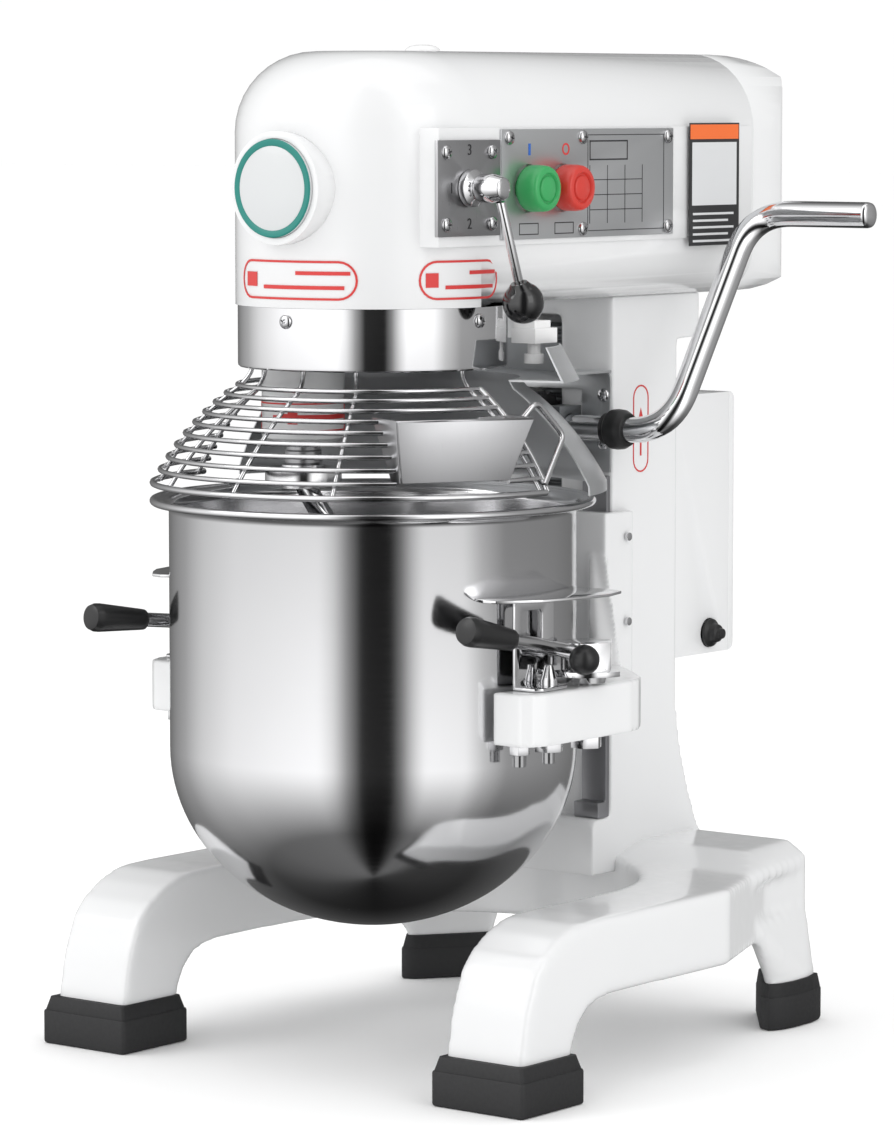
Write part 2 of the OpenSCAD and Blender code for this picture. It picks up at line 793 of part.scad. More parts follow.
module clamp_grip_left() color("#1a1a1a") clamp_grip(-1, clamp_turn[1], 6);

module crank_bar() color("silver") {
    bend = 22;
    x0 = 106 - bend;
    x1 = 106 + bend;
    axis = [0, crank_y, crank_z];
    arm = [0, sin(33.4), cos(33.4)];
    arm_long = 158;
    side = [1, 0, 0];
    first = [for (i = [0:8]) let (a = 90 * i / 8)
        axis + side * (x0 + bend * sin(a)) + arm * bend * (1 - cos(a))];
    second = [for (i = [0:8]) let (a = 90 * i / 8)
        axis + side * (x1 - bend * cos(a)) + arm * (arm_long - bend + bend * sin(a))];
    sweep(concat([axis + side * -32], first, second, [axis + side * 190 + arm * arm_long]), 8, 24,
        cross(side, arm));
    translate(axis + side * 189 + arm * arm_long) rotate([0, 90, 0])
        cylinder(h = 6, r1 = 7.6, r2 = 4);
}

module crank_fittings() color("#1a1a1a") {
    difference() {
        translate([58, crank_y, crank_z]) rotate([0, 90, 0]) rotate_extrude()
            polygon([[0, 0], [10, 0], [10, 3], [12.2, 5], [12.6, 9], [12.2, 13], [10, 17], [0, 17]]);
        translate([50, crank_y, crank_z]) rotate([0, 90, 0]) cylinder(h = 40, r = 8, $fn = 24);
    }
    translate([-10, crank_y, crank_z]) rotate([0, 90, 0]) gear(pinion_r, 22, 8, 20);
}

module shaft_bearings() color("white") {
    both_sides() difference() {
        block([16, 147, 362], [30, column_front, 388]);
        translate([10, crank_y, crank_z]) rotate([0, 90, 0]) cylinder(h = 30, r = 8 + gap);
    }
}

base_casting();
front_feet();
rear_feet();
column_casting();
guide_strips();
head_casting();
rear_cover();
oil_cap();
badge_rim();
badge_disc();
gear_plate();
control_plate();
pan_screws();
collar_ring();
switch_block();
rear_shield();
shield_bracket();
shaft_bearings();
electrical_box();
box_lid();
contactor();
motor_body();
ring_gear();
shift_rod();
drive_belt();
lever_hub();
lever_rod();
lever_knob();
start_button();
stop_button();
reset_button();
switch_plunger();
guard_cage();
feed_chute();
guard_runner();
planetary_drum();
main_shaft();
main_gears();
agitator_shaft();
planet_pinion();
dough_hook();
motor_shaft();
motor_pulley();
lay_shaft();
driven_pulley();
shift_fork();
gear_cluster();
carrier_casting();
lift_rack();
carrier_studs();
clamp_block_right();
clamp_lever_right();
clamp_grip_right();
clamp_block_left();
clamp_lever_left();
clamp_grip_left();
bowl();
bowl_brackets();
crank_bar();
crank_fittings();
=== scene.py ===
import logging
import math
from dataclasses import dataclass
from enum import Enum
from functools import partial
from typing import Callable, List, Sequence, Tuple

import bpy
import bmesh
from mathutils import Matrix, Vector


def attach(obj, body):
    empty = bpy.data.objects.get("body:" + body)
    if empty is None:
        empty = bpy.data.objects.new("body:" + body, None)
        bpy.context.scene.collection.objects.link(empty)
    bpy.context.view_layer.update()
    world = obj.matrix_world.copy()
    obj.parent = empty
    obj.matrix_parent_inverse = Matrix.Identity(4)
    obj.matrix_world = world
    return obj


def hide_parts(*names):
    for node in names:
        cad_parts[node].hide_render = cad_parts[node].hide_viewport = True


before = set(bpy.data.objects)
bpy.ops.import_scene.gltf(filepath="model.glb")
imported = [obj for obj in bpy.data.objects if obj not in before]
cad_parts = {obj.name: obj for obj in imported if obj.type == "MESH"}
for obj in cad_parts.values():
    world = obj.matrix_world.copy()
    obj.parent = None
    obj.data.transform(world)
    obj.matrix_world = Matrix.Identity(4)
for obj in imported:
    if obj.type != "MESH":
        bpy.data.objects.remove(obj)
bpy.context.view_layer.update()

LOG = logging.getLogger("mixer")
Point = Tuple[float, float, float]
Pair = Tuple[float, float]
Piece = bpy.types.Object
MM = 0.001


class Body(str, Enum):
    """The moving groups that pieces ride on."""

    STAND = "stand"
    GUARD = "guard"
    PLANETARY = "planetary"
    AGITATOR = "agitator"
    CARRIER = "carrier"
    CLAMP_RIGHT = "clamp_right"
    CLAMP_LEFT = "clamp_left"
    BOWL = "bowl_unit"
    CRANK = "crank"
    LEVER = "gear_lever"
    START = "start_key"
    STOP = "stop_key"
    RESET = "reset_key"
    SWITCH = "guard_switch"
    ROTOR = "rotor"
    LAYSHAFT = "layshaft"
    FORK = "fork"
    CLUSTER = "cluster"


class Side(Enum):
    """Which side of the machine a mirrored piece is on."""

    RIGHT = 1
    LEFT = -1


# ---- finishes ----


def add_node(tree: bpy.types.NodeTree, kind: str, **inputs: object) -> bpy.types.Node:
    """Adds a shader node.

    Args:
        tree: where it goes.
        kind: its type without the usual prefix.
        inputs: values of its inputs, with _ for a space in a name.

    Returns:
        The node.
    """
    made = tree.nodes.new("ShaderNode" + kind)
    for name, value in inputs.items():
        made.inputs[name.replace("_", " ")].default_value = value
    return made


def add_mix(tree: bpy.types.NodeTree, first: Point = (0.5,) * 3, second: Point = (0.5,) * 3,
            mode: str = "MIX") -> bpy.types.Node:
    """Adds a node that mixes two colours.

    Args:
        tree: where it goes.
        first: the colour at factor 0.
        second: the colour at factor 1.
        mode: how they are mixed.

    Returns:
        The node.
    """
    made = add_node(tree, "Mix")
    made.data_type = "RGBA"
    made.blend_type = mode
    made.inputs[6].default_value = (*first, 1.0)
    made.inputs[7].default_value = (*second, 1.0)
    return made


def link(tree: bpy.types.NodeTree, *rows: Tuple) -> None:
    """Joins nodes, each row being (node, output, node, input)."""
    for source, out, target, into in rows:
        tree.links.new(source.outputs[out], target.inputs[into])


@dataclass(frozen=True)
class Finish:
    """A surface finish with its own colour variation, roughness map and relief.

    Colours are linear RGB. The grain is a stretched noise in millimetres of the piece itself.
    """

    name: str
    colour: Point
    tint: Point
    rough: Pair
    metallic: float = 0.0
    grain: Point = (1.0, 1.0, 1.0)
    grain_scale: float = 300.0
    relief: float = 0.05
    relief_depth: float = 0.0002
    coat: float = 0.0
    specular: float = 0.5
    wear: float = 0.0

    def material(self) -> bpy.types.Material:
        """Builds the node tree, or hands back the one made before.

        Returns:
            The material for this finish.
        """
        found = bpy.data.materials.get(self.name)
        if found is not None:
            return found
        made = bpy.data.materials.new(self.name)
        made.use_nodes = True
        tree = made.node_tree
        shader = tree.nodes["Principled BSDF"]
        for name, value in (("Metallic", self.metallic), ("Coat Weight", self.coat), ("Coat Roughness", 0.04),
                            ("Specular IOR Level", self.specular)):
            shader.inputs[name].default_value = value
        place = add_node(tree, "TexCoord")
        turn = add_node(tree, "Mapping", Scale=self.grain)
        fine = add_node(tree, "TexNoise", Scale=self.grain_scale, Detail=5.0)
        broad = add_node(tree, "TexNoise", Scale=7.0, Detail=3.0)
        blend = add_mix(tree, self.colour, self.tint)
        spread = add_node(tree, "MapRange", To_Min=self.rough[0], To_Max=self.rough[1])
        relief = add_node(tree, "Bump", Strength=self.relief, Distance=self.relief_depth)
        link(tree, (place, "Object", turn, "Vector"), (turn, "Vector", fine, "Vector"),
             (place, "Object", broad, "Vector"), (broad, "Fac", blend, "Factor"),
             (fine, "Fac", spread, "Value"),
             (fine, "Fac", relief, "Height"), (spread, "Result", shader, "Roughness"),
             (relief, "Normal", shader, "Normal"), (blend, 2, shader, "Base Color"))
        if self.wear > 0.0:
            edge = add_node(tree, "NewGeometry")
            sharp = add_node(tree, "MapRange", From_Min=0.52, From_Max=0.62, To_Max=self.wear)
            rubbed = add_mix(tree, second=tuple(min(1.0, c * 1.5 + 0.03) for c in self.colour))
            link(tree, (edge, "Pointiness", sharp, "Value"), (sharp, "Result", rubbed, "Factor"),
                 (blend, 2, rubbed, 6), (rubbed, 2, shader, "Base Color"))
        return made


ENAMEL = Finish("gloss_enamel", (0.84, 0.845, 0.85), (0.81, 0.815, 0.82), (0.14, 0.24),
                grain_scale=260.0, relief=0.06, relief_depth=0.00012, coat=0.5)
ENAMEL_CAST = Finish("cast_enamel", (0.84, 0.845, 0.85), (0.805, 0.81, 0.815), (0.16, 0.28),
                     grain_scale=110.0, relief=0.03, relief_depth=0.0001, coat=0.4)
MIRROR_STEEL = Finish("mirror_steel", (0.80, 0.80, 0.81), (0.74, 0.74, 0.75), (0.045, 0.11),
                      metallic=1.0, grain=(1.0, 1.0, 14.0), grain_scale=60.0, relief=0.01)
SPUN_STEEL = Finish("spun_steel", (0.74, 0.74, 0.75), (0.66, 0.66, 0.67), (0.08, 0.17),
                    metallic=1.0, grain=(1.0, 1.0, 40.0), grain_scale=40.0, relief=0.03)
SATIN_STEEL = Finish("satin_steel", (0.50, 0.50, 0.51), (0.43, 0.43, 0.44), (0.24, 0.36),
                     metallic=1.0, grain=(1.0, 30.0, 1.0), grain_scale=90.0, relief=0.06)
WIRE_STEEL = Finish("wire_steel", (0.72, 0.72, 0.73), (0.6, 0.6, 0.61), (0.1, 0.22),
                    metallic=1.0, relief=0.04)
WAY_STEEL = Finish("way_steel", (0.10, 0.10, 0.105), (0.06, 0.06, 0.065), (0.35, 0.5),
                   metallic=0.8, grain=(40.0, 40.0, 1.0), grain_scale=30.0, relief=0.1)
ALUMINIUM = Finish("anodised_sheet", (0.66, 0.67, 0.68), (0.6, 0.61, 0.62), (0.3, 0.4),
                   metallic=0.85, grain=(1.0, 1.0, 60.0), grain_scale=50.0, relief=0.04)
CAST_GREY = Finish("machined_iron", (0.22, 0.23, 0.24), (0.15, 0.155, 0.16), (0.35, 0.55),
                   metallic=0.7, grain_scale=180.0, relief=0.2, wear=0.4)
BOOT_RUBBER = Finish("boot_rubber", (0.012, 0.012, 0.013), (0.022, 0.022, 0.023), (0.5, 0.72),
                     grain_scale=420.0, relief=0.3, specular=0.4, wear=0.5)
SOFT_BLACK = Finish("soft_black_rubber", (0.01, 0.01, 0.011), (0.018, 0.018, 0.018), (0.36, 0.5), relief=0.15,
                    wear=0.3)
BALL_BLACK = Finish("ball_black", (0.006, 0.006, 0.007), (0.012, 0.012, 0.012), (0.06, 0.13),
                    grain_scale=200.0, relief=0.03, coat=0.6)
GRIP_BLACK = Finish("grip_black", (0.01, 0.01, 0.011), (0.02, 0.02, 0.02), (0.28, 0.4),
                    grain_scale=350.0, relief=0.15)
GREEN_CAP = Finish("green_cap", (0.03, 0.33, 0.09), (0.05, 0.42, 0.13), (0.28, 0.4),
                   grain_scale=250.0, relief=0.1, coat=0.2)
RED_CAP = Finish("red_cap", (0.55, 0.03, 0.02), (0.68, 0.05, 0.035), (0.28, 0.4),
                 grain_scale=250.0, relief=0.1, coat=0.2)
WHITE_PLASTIC = Finish("white_plastic", (0.78, 0.78, 0.77), (0.7, 0.7, 0.69), (0.3, 0.42),
                       grain_scale=220.0, relief=0.08)
BADGE_GREY = Finish("badge_face", (0.72, 0.735, 0.74), (0.62, 0.635, 0.64), (0.25, 0.4),
                    grain_scale=160.0, coat=0.3)
TEAL_INK = Finish("teal_ink", (0.01, 0.20, 0.17), (0.015, 0.25, 0.21), (0.3, 0.45))
RED_INK = Finish("red_ink", (0.62, 0.03, 0.03), (0.7, 0.05, 0.045), (0.3, 0.45))
BLACK_INK = Finish("black_ink", (0.02, 0.02, 0.022), (0.035, 0.035, 0.037), (0.35, 0.5))
BLUE_INK = Finish("blue_ink", (0.02, 0.12, 0.5), (0.03, 0.15, 0.56), (0.3, 0.45))
ORANGE_INK = Finish("orange_ink", (0.85, 0.13, 0.02), (0.9, 0.18, 0.03), (0.3, 0.45))
FILM = Finish("label_film", (0.72, 0.73, 0.74), (0.66, 0.67, 0.68), (0.3, 0.42))
FLOOR_PAINT = Finish("studio_floor", (1.0, 1.0, 1.0), (0.995, 0.995, 0.995), (0.6, 0.7),
                     grain_scale=30.0, relief=0.02, specular=0.0)


# ---- bench tools: every piece is shaped with these ----


def clear_selection() -> None:
    """Leaves nothing selected."""
    if bpy.context.object is not None and bpy.context.object.mode != "OBJECT":
        bpy.ops.object.mode_set(mode="OBJECT")
    bpy.ops.object.select_all(action="DESELECT")


def take(piece: Piece) -> None:
    """Makes a piece the only one selected, and the active one.

    Args:
        piece: the object to select.
    """
    clear_selection()
    piece.select_set(True)
    bpy.context.view_layer.objects.active = piece


def settle(piece: Piece) -> None:
    """Puts a piece's place into its mesh, so that the object itself stands at the origin."""
    piece.data.transform(piece.matrix_world)
    piece.matrix_world = Matrix.Identity(4)


def modify(piece: Piece, kind: str, **settings: object) -> None:
    """Adds a modifier and applies it.

    Args:
        piece: what it works on.
        kind: the modifier's type.
        settings: its values.
    """
    take(piece)
    mod = piece.modifiers.new(kind.lower(), kind)
    for key, value in settings.items():
        setattr(mod, key, value)
    bpy.ops.object.modifier_apply(modifier=mod.name)


def edit(piece: Piece, *steps: Callable) -> None:
    """Works on a whole piece in edit mode.

    Args:
        piece: what it works on.
        steps: the operators to run, in order.
    """
    take(piece)
    bpy.ops.object.mode_set(mode="EDIT")
    bpy.ops.mesh.select_all(action="SELECT")
    for step in steps:
        step()
    bpy.ops.object.mode_set(mode="OBJECT")


OUTWARDS = partial(bpy.ops.mesh.normals_make_consistent, inside=False)


def pull(push: Sequence[float]) -> Callable:
    """The step that extrudes what is selected by a distance in millimetres."""
    return partial(bpy.ops.mesh.extrude_region_move, TRANSFORM_OT_translate={"value": Vector(push) * MM})


def smooth(piece: Piece, angle: float = 35.0) -> None:
    """Shades a piece smooth up to an angle in degrees."""
    take(piece)
    bpy.ops.object.shade_smooth_by_angle(angle=math.radians(angle))


def tidy(piece: Piece, near: float = 1e-6) -> None:
    """Merges doubles and turns all faces outwards."""
    edit(piece, partial(bpy.ops.mesh.remove_doubles, threshold=near), OUTWARDS)


def ring_of(name: str, points: Sequence[Point], closed: bool = True) -> Piece:
    """Starts a piece from a circle whose corners are moved to the points given.

    Args:
        name: the piece's name.
        points: corners in millimetres.
        closed: whether the last corner joins the first.

    Returns:
        The wire outline as an object.
    """
    clear_selection()
    bpy.ops.mesh.primitive_circle_add(vertices=len(points), radius=1.0)
    piece = bpy.context.object
    piece.name = name
    for corner, point in zip(piece.data.vertices, points):
        corner.co = Vector(point) * MM
    if not closed:
        count = len(points)
        shape = bmesh.new()
        shape.from_mesh(piece.data)
        shape.edges.ensure_lookup_table()
        for edge in [e for e in shape.edges if {v.index for v in e.verts} == {0, count - 1}]:
            shape.edges.remove(edge)
        shape.to_mesh(piece.data)
        shape.free()
    return piece


def prism(name: str, points: Sequence[Point], push: Point) -> Piece:
    """Fills an outline and extrudes it.

    Args:
        name: the piece's name.
        points: the outline in millimetres.
        push: how far it is drawn out, in millimetres.

    Returns:
        The closed solid.
    """
    piece = ring_of(name, points)
    edit(piece, bpy.ops.mesh.edge_face_add, pull(push))
    tidy(piece)
    return piece


def hull_of(name: str, points: Sequence[Point]) -> Piece:
    """The smallest convex solid round a set of points.

    Args:
        name: the piece's name.
        points: corners in millimetres.

    Returns:
        The closed solid.
    """
    piece = ring_of(name, points)
    edit(piece, bpy.ops.mesh.convex_hull)
    tidy(piece)
    return piece


def turned(name: str, profile: Sequence[Pair], at: Point = (0, 0, 0), along: Point = (0, 0, 1),
           steps: int = 64, closed: bool = False, arc: float = 360.0) -> Piece:
    """Spins a profile of (radius, height) round an axis.

    Args:
        name: the piece's name.
        profile: the half section in millimetres.
        at: where the axis starts.
        along: which way the axis points.
        steps: how many steps the turn takes.
        closed: whether the profile is a closed loop.
        arc: how far it turns, in degrees.

    Returns:
        The turned piece in place.
    """
    piece = ring_of(name, [(r, 0.0, z) for r, z in profile], closed)
    edit(piece, partial(bpy.ops.mesh.spin, steps=steps, angle=-math.radians(arc), center=(0, 0, 0),
                        axis=(0, 0, 1)))
    upright = Vector(along).normalized().z > 0.9999
    aim = Matrix.Identity(4) if upright else Vector(along).to_track_quat("Z", "Y").to_matrix().to_4x4()
    piece.data.transform(Matrix.Translation(Vector(at) * MM) @ aim)
    tidy(piece)
    return piece


def plug(radius: float, low: float, high: float, at: Point = (0, 0, 0), along: Point = (0, 0, 1),
         steps: int = 64) -> Piece:
    """A plain cylinder, for joining or cutting.

    Args:
        radius: its radius in millimetres.
        low: where it starts along its axis.
        high: where it ends.
        at: where the axis starts.
        along: which way the axis points.
        steps: how many faces it has.

    Returns:
        The cylinder.
    """
    return turned("plug", [(0, low), (radius, low), (radius, high), (0, high)], at, along, steps)


def slab(name: str, low: Point, high: Point, edge: float = 1.0, turns: int = 3) -> Piece:
    """A block between two corners with rounded edges.

    Args:
        name: the piece's name.
        low: lowest corner in millimetres.
        high: highest corner.
        edge: radius of its edges.
        turns: steps round each edge.

    Returns:
        The block.
    """
    clear_selection()
    middle = (Vector(low) + Vector(high)) / 2 * MM
    span = (Vector(high) - Vector(low)) * MM
    bpy.ops.mesh.primitive_cube_add(size=1.0, location=middle)
    piece = bpy.context.object
    piece.name = name
    piece.scale = span
    bpy.context.view_layer.update()
    settle(piece)
    if edge > 0:
        modify(piece, "BEVEL", width=edge * MM, segments=turns, limit_method="ANGLE")
    return piece


def wire(name: str, points: Sequence[Point], radius: float, closed: bool = False,
         sides: int = 3) -> Piece:
    """A round bar along a row of points, closed at both ends.

    Args:
        name: the piece's name.
        points: its centre line in millimetres.
        radius: half its thickness.
        closed: whether it is a ring.
        sides: roundness of its section.

    Returns:
        The bar as a mesh.
    """
    clear_selection()
    bpy.ops.curve.primitive_nurbs_path_add()
    line = bpy.context.object
    line.name = name
    line.data.splines.clear()
    run = line.data.splines.new("POLY")
    run.points.add(len(points) - 1)
    for knot, point in zip(run.points, points):
        knot.co = (*(Vector(point) * MM), 1.0)
    run.use_cyclic_u = closed
    line.data.dimensions = "3D"
    line.data.twist_mode = "MINIMUM"
    line.data.bevel_depth = radius * MM
    line.data.bevel_resolution = sides
    line.data.use_fill_caps = not closed
    take(line)
    bpy.ops.object.convert(target="MESH")
    piece = bpy.context.object
    settle(piece)
    tidy(piece)
    return piece


def rounded(points: Sequence[Point], radius: float, steps: int = 6) -> List[Point]:
    """Rounds the inner corners of a row of points.

    Args:
        points: corners in millimetres.
        radius: how far back from each corner the curve starts.
        steps: points on each curve.

    Returns:
        The smoother row.
    """
    row: List[Point] = [points[0]]
    for before, corner, after in zip(points, points[1:], points[2:]):
        a, c, b = Vector(before), Vector(corner), Vector(after)
        start = c + (a - c).normalized() * min(radius, (a - c).length * 0.49)
        end = c + (b - c).normalized() * min(radius, (b - c).length * 0.49)
        for i in range(steps + 1):
            t = i / steps
            row.append(tuple(start.lerp(c, t).lerp(c.lerp(end, t), t)))
    row.append(points[-1])
    return row


def curved_bar(name: str, centre: Pair, radius: float, turns: Pair, heights: Pair) -> Piece:
    """A thin printed bar that follows an upright cylinder.

    Args:
        name: the bar's name.
        centre: the cylinder's axis as (x, y) in millimetres.
        radius: radius of the bar.
        turns: where it begins and ends, as bearings in degrees from +X.
        heights: its lower and upper edge in millimetres.

    Returns:
        The bar.
    """
    count = max(3, int(abs(turns[1] - turns[0]) / 3))
    row = arc_row(centre, radius, turns[0], turns[1], count)
    strip = ring_of(name, [(x, y, heights[0]) for x, y in row], closed=False)
    edit(strip, pull((0, 0, heights[1] - heights[0])), OUTWARDS)
    modify(strip, "SOLIDIFY", thickness=0.3 * MM, offset=0)
    return strip


def outline_band(name: str, outer: Sequence[Point], inner: Sequence[Point], thick: float) -> Piece:
    """A thin printed line between two closed outlines.

    Args:
        name: the line's name.
        outer: its outer edge in millimetres.
        inner: its inner edge, with as many points.
        thick: how thick the print is.

    Returns:
        The line as a solid.
    """
    band = joined(name, [ring_of("outer", outer), ring_of("inner", inner)])
    edit(band, bpy.ops.mesh.bridge_edge_loops, OUTWARDS)
    modify(band, "SOLIDIFY", thickness=thick * MM, offset=0)
    return band


def arc_row(centre: Pair, radius: float, start: float, end: float, steps: int) -> List[Pair]:
    """Points on an arc in a plane, in millimetres and degrees.

    Args:
        centre: middle of the arc.
        radius: its radius.
        start: where it begins, in degrees.
        end: where it ends.
        steps: how many steps it has.

    Returns:
        The points, with both ends.
    """
    return [(centre[0] + radius * math.cos(math.radians(start + (end - start) * i / steps)),
             centre[1] + radius * math.sin(math.radians(start + (end - start) * i / steps)))
            for i in range(steps + 1)]


def cut(piece: Piece, cutter: Piece, mode: str = "DIFFERENCE") -> None:
    """Cuts or joins two closed solids and throws the second away.

    Args:
        piece: what stays.
        cutter: what is used up.
        mode: the boolean operation.
    """
    modify(piece, "BOOLEAN", operation=mode, object=cutter, solver="EXACT")
    bpy.data.objects.remove(cutter)


def joined(name: str, parts: Sequence[Piece]) -> Piece:
    """Makes one object of several.

    Args:
        name: the new piece's name.
        parts: the objects, which are used up.

    Returns:
        The joined piece.
    """
    clear_selection()
    for part in parts:
        part.select_set(True)
    bpy.context.view_layer.objects.active = parts[0]
    bpy.ops.object.join()
    piece = bpy.context.object
    piece.name = name
    return piece


def flip(piece: Piece) -> None:
    """Turns a piece into its mirror image on the other side of the machine."""
    piece.data.transform(Matrix.Scale(-1, 4, (1, 0, 0)))
    piece.data.flip_normals()


def mirrored(piece: Piece, name: str) -> Piece:
    """A copy on the other side of the machine, with a mesh of its own.

    Args:
        piece: the right-hand piece.
        name: the copy's name.

    Returns:
        The left-hand piece.
    """
    twin = piece.copy()
    twin.data = piece.data.copy()
    twin.name = name
    bpy.context.collection.objects.link(twin)
    flip(twin)
    return twin


def cast(piece: Piece, grid: float, rounds: int = 6) -> None:
    """Melts joined solids into one casting with soft inner and outer corners.

    Args:
        piece: overlapping closed solids in one mesh.
        grid: voxel size in millimetres.
        rounds: smoothing passes.
    """
    modify(piece, "REMESH", mode="VOXEL", voxel_size=grid * MM, use_smooth_shade=True)
    modify(piece, "SMOOTH", factor=0.5, iterations=rounds)
    take(piece)
    bpy.ops.object.shade_smooth()


def finish_piece(piece: Piece, finish: Finish, body: Body, slot: str, *nodes: str,
                 shade: float = 0.0) -> Piece:
    """Gives a piece its finish and its body, and hides the CAD nodes that it stands for.

    Args:
        piece: the finished shape.
        finish: its surface.
        body: what it moves with.
        slot: not used.
        nodes: CAD nodes it replaces.
        shade: angle in degrees up to which it is shaded smooth, or 0.

    Returns:
        The same piece.
    """
    if shade > 0:
        smooth(piece, shade)
    piece.data.materials.clear()
    piece.data.materials.append(finish.material())
    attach(piece, body.value)
    if nodes:
        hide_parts(*nodes)
    return piece


def dressed_node(node: str, finish: Finish, body: Body, slot: str, edge: float = 0.4,
                 angle: float = 30.0) -> Piece:
    """A detailed copy of a CAD node: merged, flat faces cleaned, edges broken, shaded smooth.

    Args:
        node: the CAD node.
        finish: its surface.
        body: what it moves with.
        slot: handed on to finish_piece.
        edge: width of the broken edges in millimetres, or 0.
        angle: edges sharper than this are broken.

    Returns:
        The copy.
    """
    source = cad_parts[node]
    piece = source.copy()
    piece.data = source.data.copy()
    piece.name = node + "_skin"
    bpy.context.collection.objects.link(piece)
    piece.parent = None
    piece.matrix_world = Matrix.Identity(4)
    edit(piece, bpy.ops.mesh.customdata_custom_splitnormals_clear,
         partial(bpy.ops.mesh.remove_doubles, threshold=2e-6),
         partial(bpy.ops.mesh.dissolve_limited, angle_limit=math.radians(0.3)))
    if edge > 0:
        modify(piece, "BEVEL", width=edge * MM, segments=2, limit_method="ANGLE",
               angle_limit=math.radians(angle))
    smooth(piece, angle)
    return finish_piece(piece, finish, body, slot, node)


# ---- the stand ----


@dataclass
class BaseStand:
    """The cast foot frame and its four rubber boots. Sizes in millimetres."""

    leg_in: float = 124.0
    leg_out: float = 179.4
    top: float = 104.0
    under: float = 58.0
    grid: float = 2.4

    def front_leg(self) -> Piece:
        """The right front leg as a prism drawn from its side view.

        Returns:
            The leg as a closed solid.
        """
        side = [(-90, 12), (-88, 30), (-83, 56), (-74, 78), (-65, 88), (-50, 97), (-33, self.top - 1),
                (-6, self.top), (60, self.top), (119, self.top), (119, 61), (100, 59), (0, self.under)]
        side += [(-11, 57), (-22, 53), (-31, 45), (-37, 34), (-39, 24), (-40, 12)]
        return prism("leg", [(self.leg_in, y, z) for y, z in side], (self.leg_out - self.leg_in, 0, 0))

    def rear_leg(self) -> Piece:
        """The right rear leg, a corner wall that widens upwards into the deck.

        Returns:
            The leg as a closed solid.
        """
        low = [(144.2, 213.4), (148, 221), (149.6, 233), (148.6, 250), (144.4, 264.2), (110.8, 264.2),
               (108.8, 257.2), (138.6, 217)]
        high = [(155, 180), (145, 206), (137, 265), (96, 265), (96, 250), (140, 190)]
        leg = hull_of("rear_leg", [(x, y, 12) for x, y in low] + [(x, y, 33) for x, y in low])
        flare = hull_of("flare", [(x, y, 30) for x, y in low] + [(x, y, self.under + 14) for x, y in high])
        cut(leg, flare, "UNION")
        return leg

    def deck(self) -> Piece:
        """The web between the legs behind the bowl, higher at the rear.

        Returns:
            The web as a closed solid.
        """
        half = [(self.leg_out, 50), (self.leg_out, 118), (145, 206), (137, 265.6)]
        plan = half + [(-x, y) for x, y in reversed(half)]
        web = prism("deck", [(x, y, self.under) for x, y in plan], (0, 0, self.top - self.under))
        low = [(160, 165), (145, 206), (137, 265.6), (-137, 265.6), (-145, 206), (-160, 165)]
        high = [(134, 202), (127, 260), (-127, 260), (-134, 202)]
        rise = hull_of("rise", [(x, y, 96) for x, y in low] + [(x, y, 103) for x, y in low]
                       + [(x, y, 113) for x, y in high])
        cut(web, rise, "UNION")
        return web

    def build(self) -> None:
        """Makes the casting and the boots."""
        shell = self.deck()
        right = self.front_leg()
        cut(right, self.rear_leg(), "UNION")
        left = mirrored(right, "left_half")
        cut(shell, right, "UNION")
        cut(shell, left, "UNION")
        cut(shell, plug(self.leg_in, 20, 180, (0, 62, 0), steps=96))
        cut(shell, slab("gate", (-self.leg_in, -120, 10), (self.leg_in, 62, 180), 0))
        shell.name = "base_shell"
        cast(shell, self.grid, 10)
        finish_piece(shell, ENAMEL_CAST, Body.STAND, "white_enamel", "base_casting")
        self.boots()

    def boot(self, name: str, plan: Sequence[Pair], middle: Pair) -> Piece:
        """One boot: a rubber block with a stepped and drawn-in upper band.

        Args:
            name: the boot's name.
            plan: its outline as seen from above.
            middle: the point that the band is drawn in towards.

        Returns:
            The boot.
        """
        block = prism(name, [(x, y, 0) for x, y in plan], (0, 0, 21))
        modify(block, "BEVEL", width=1.6 * MM, segments=2, limit_method="ANGLE", angle_limit=math.radians(50))
        inset = [(x + (middle[0] - x) * k, y + (middle[1] - y) * k, z) for k,
                 z in ((0.03, 19), (0.03, 21), (0.1, 29))
                 for x, y in plan]
        band = hull_of("band", inset)
        modify(band, "BEVEL", width=0.9 * MM, segments=2, limit_method="ANGLE", angle_limit=math.radians(50))
        cut(block, band, "UNION")
        smooth(block, 32)
        return block

    def boots(self) -> None:
        """The four boots, left ones mirrored from the right."""
        square = rounded([(185.4, -40), (185.4, -95), (118.6, -95), (118.6, -35), (185.4, -35), (185.4, -45)],
                         3, 3)
        front = [(p[0], p[1]) for p in square[1:-1]]
        rear = [(145.7, 209.4), (149, 213.6), (151.4, 219), (153, 232), (152.4, 251), (150.4, 260),
                (147, 267.6),
                (109, 267.6), (105, 256), (137.4, 213)]
        for pair, plan, middle in (("front_feet", front, (152.0, -65.0)),
                                   ("rear_feet", rear, (133.2, 244.5))):
            right = self.boot(pair + "_right", plan, middle)
            left = mirrored(right, pair + "_left")
            both = joined(pair + "_boots", [right, left])
            finish_piece(both, BOOT_RUBBER, Body.STAND, "black_rubber", pair)


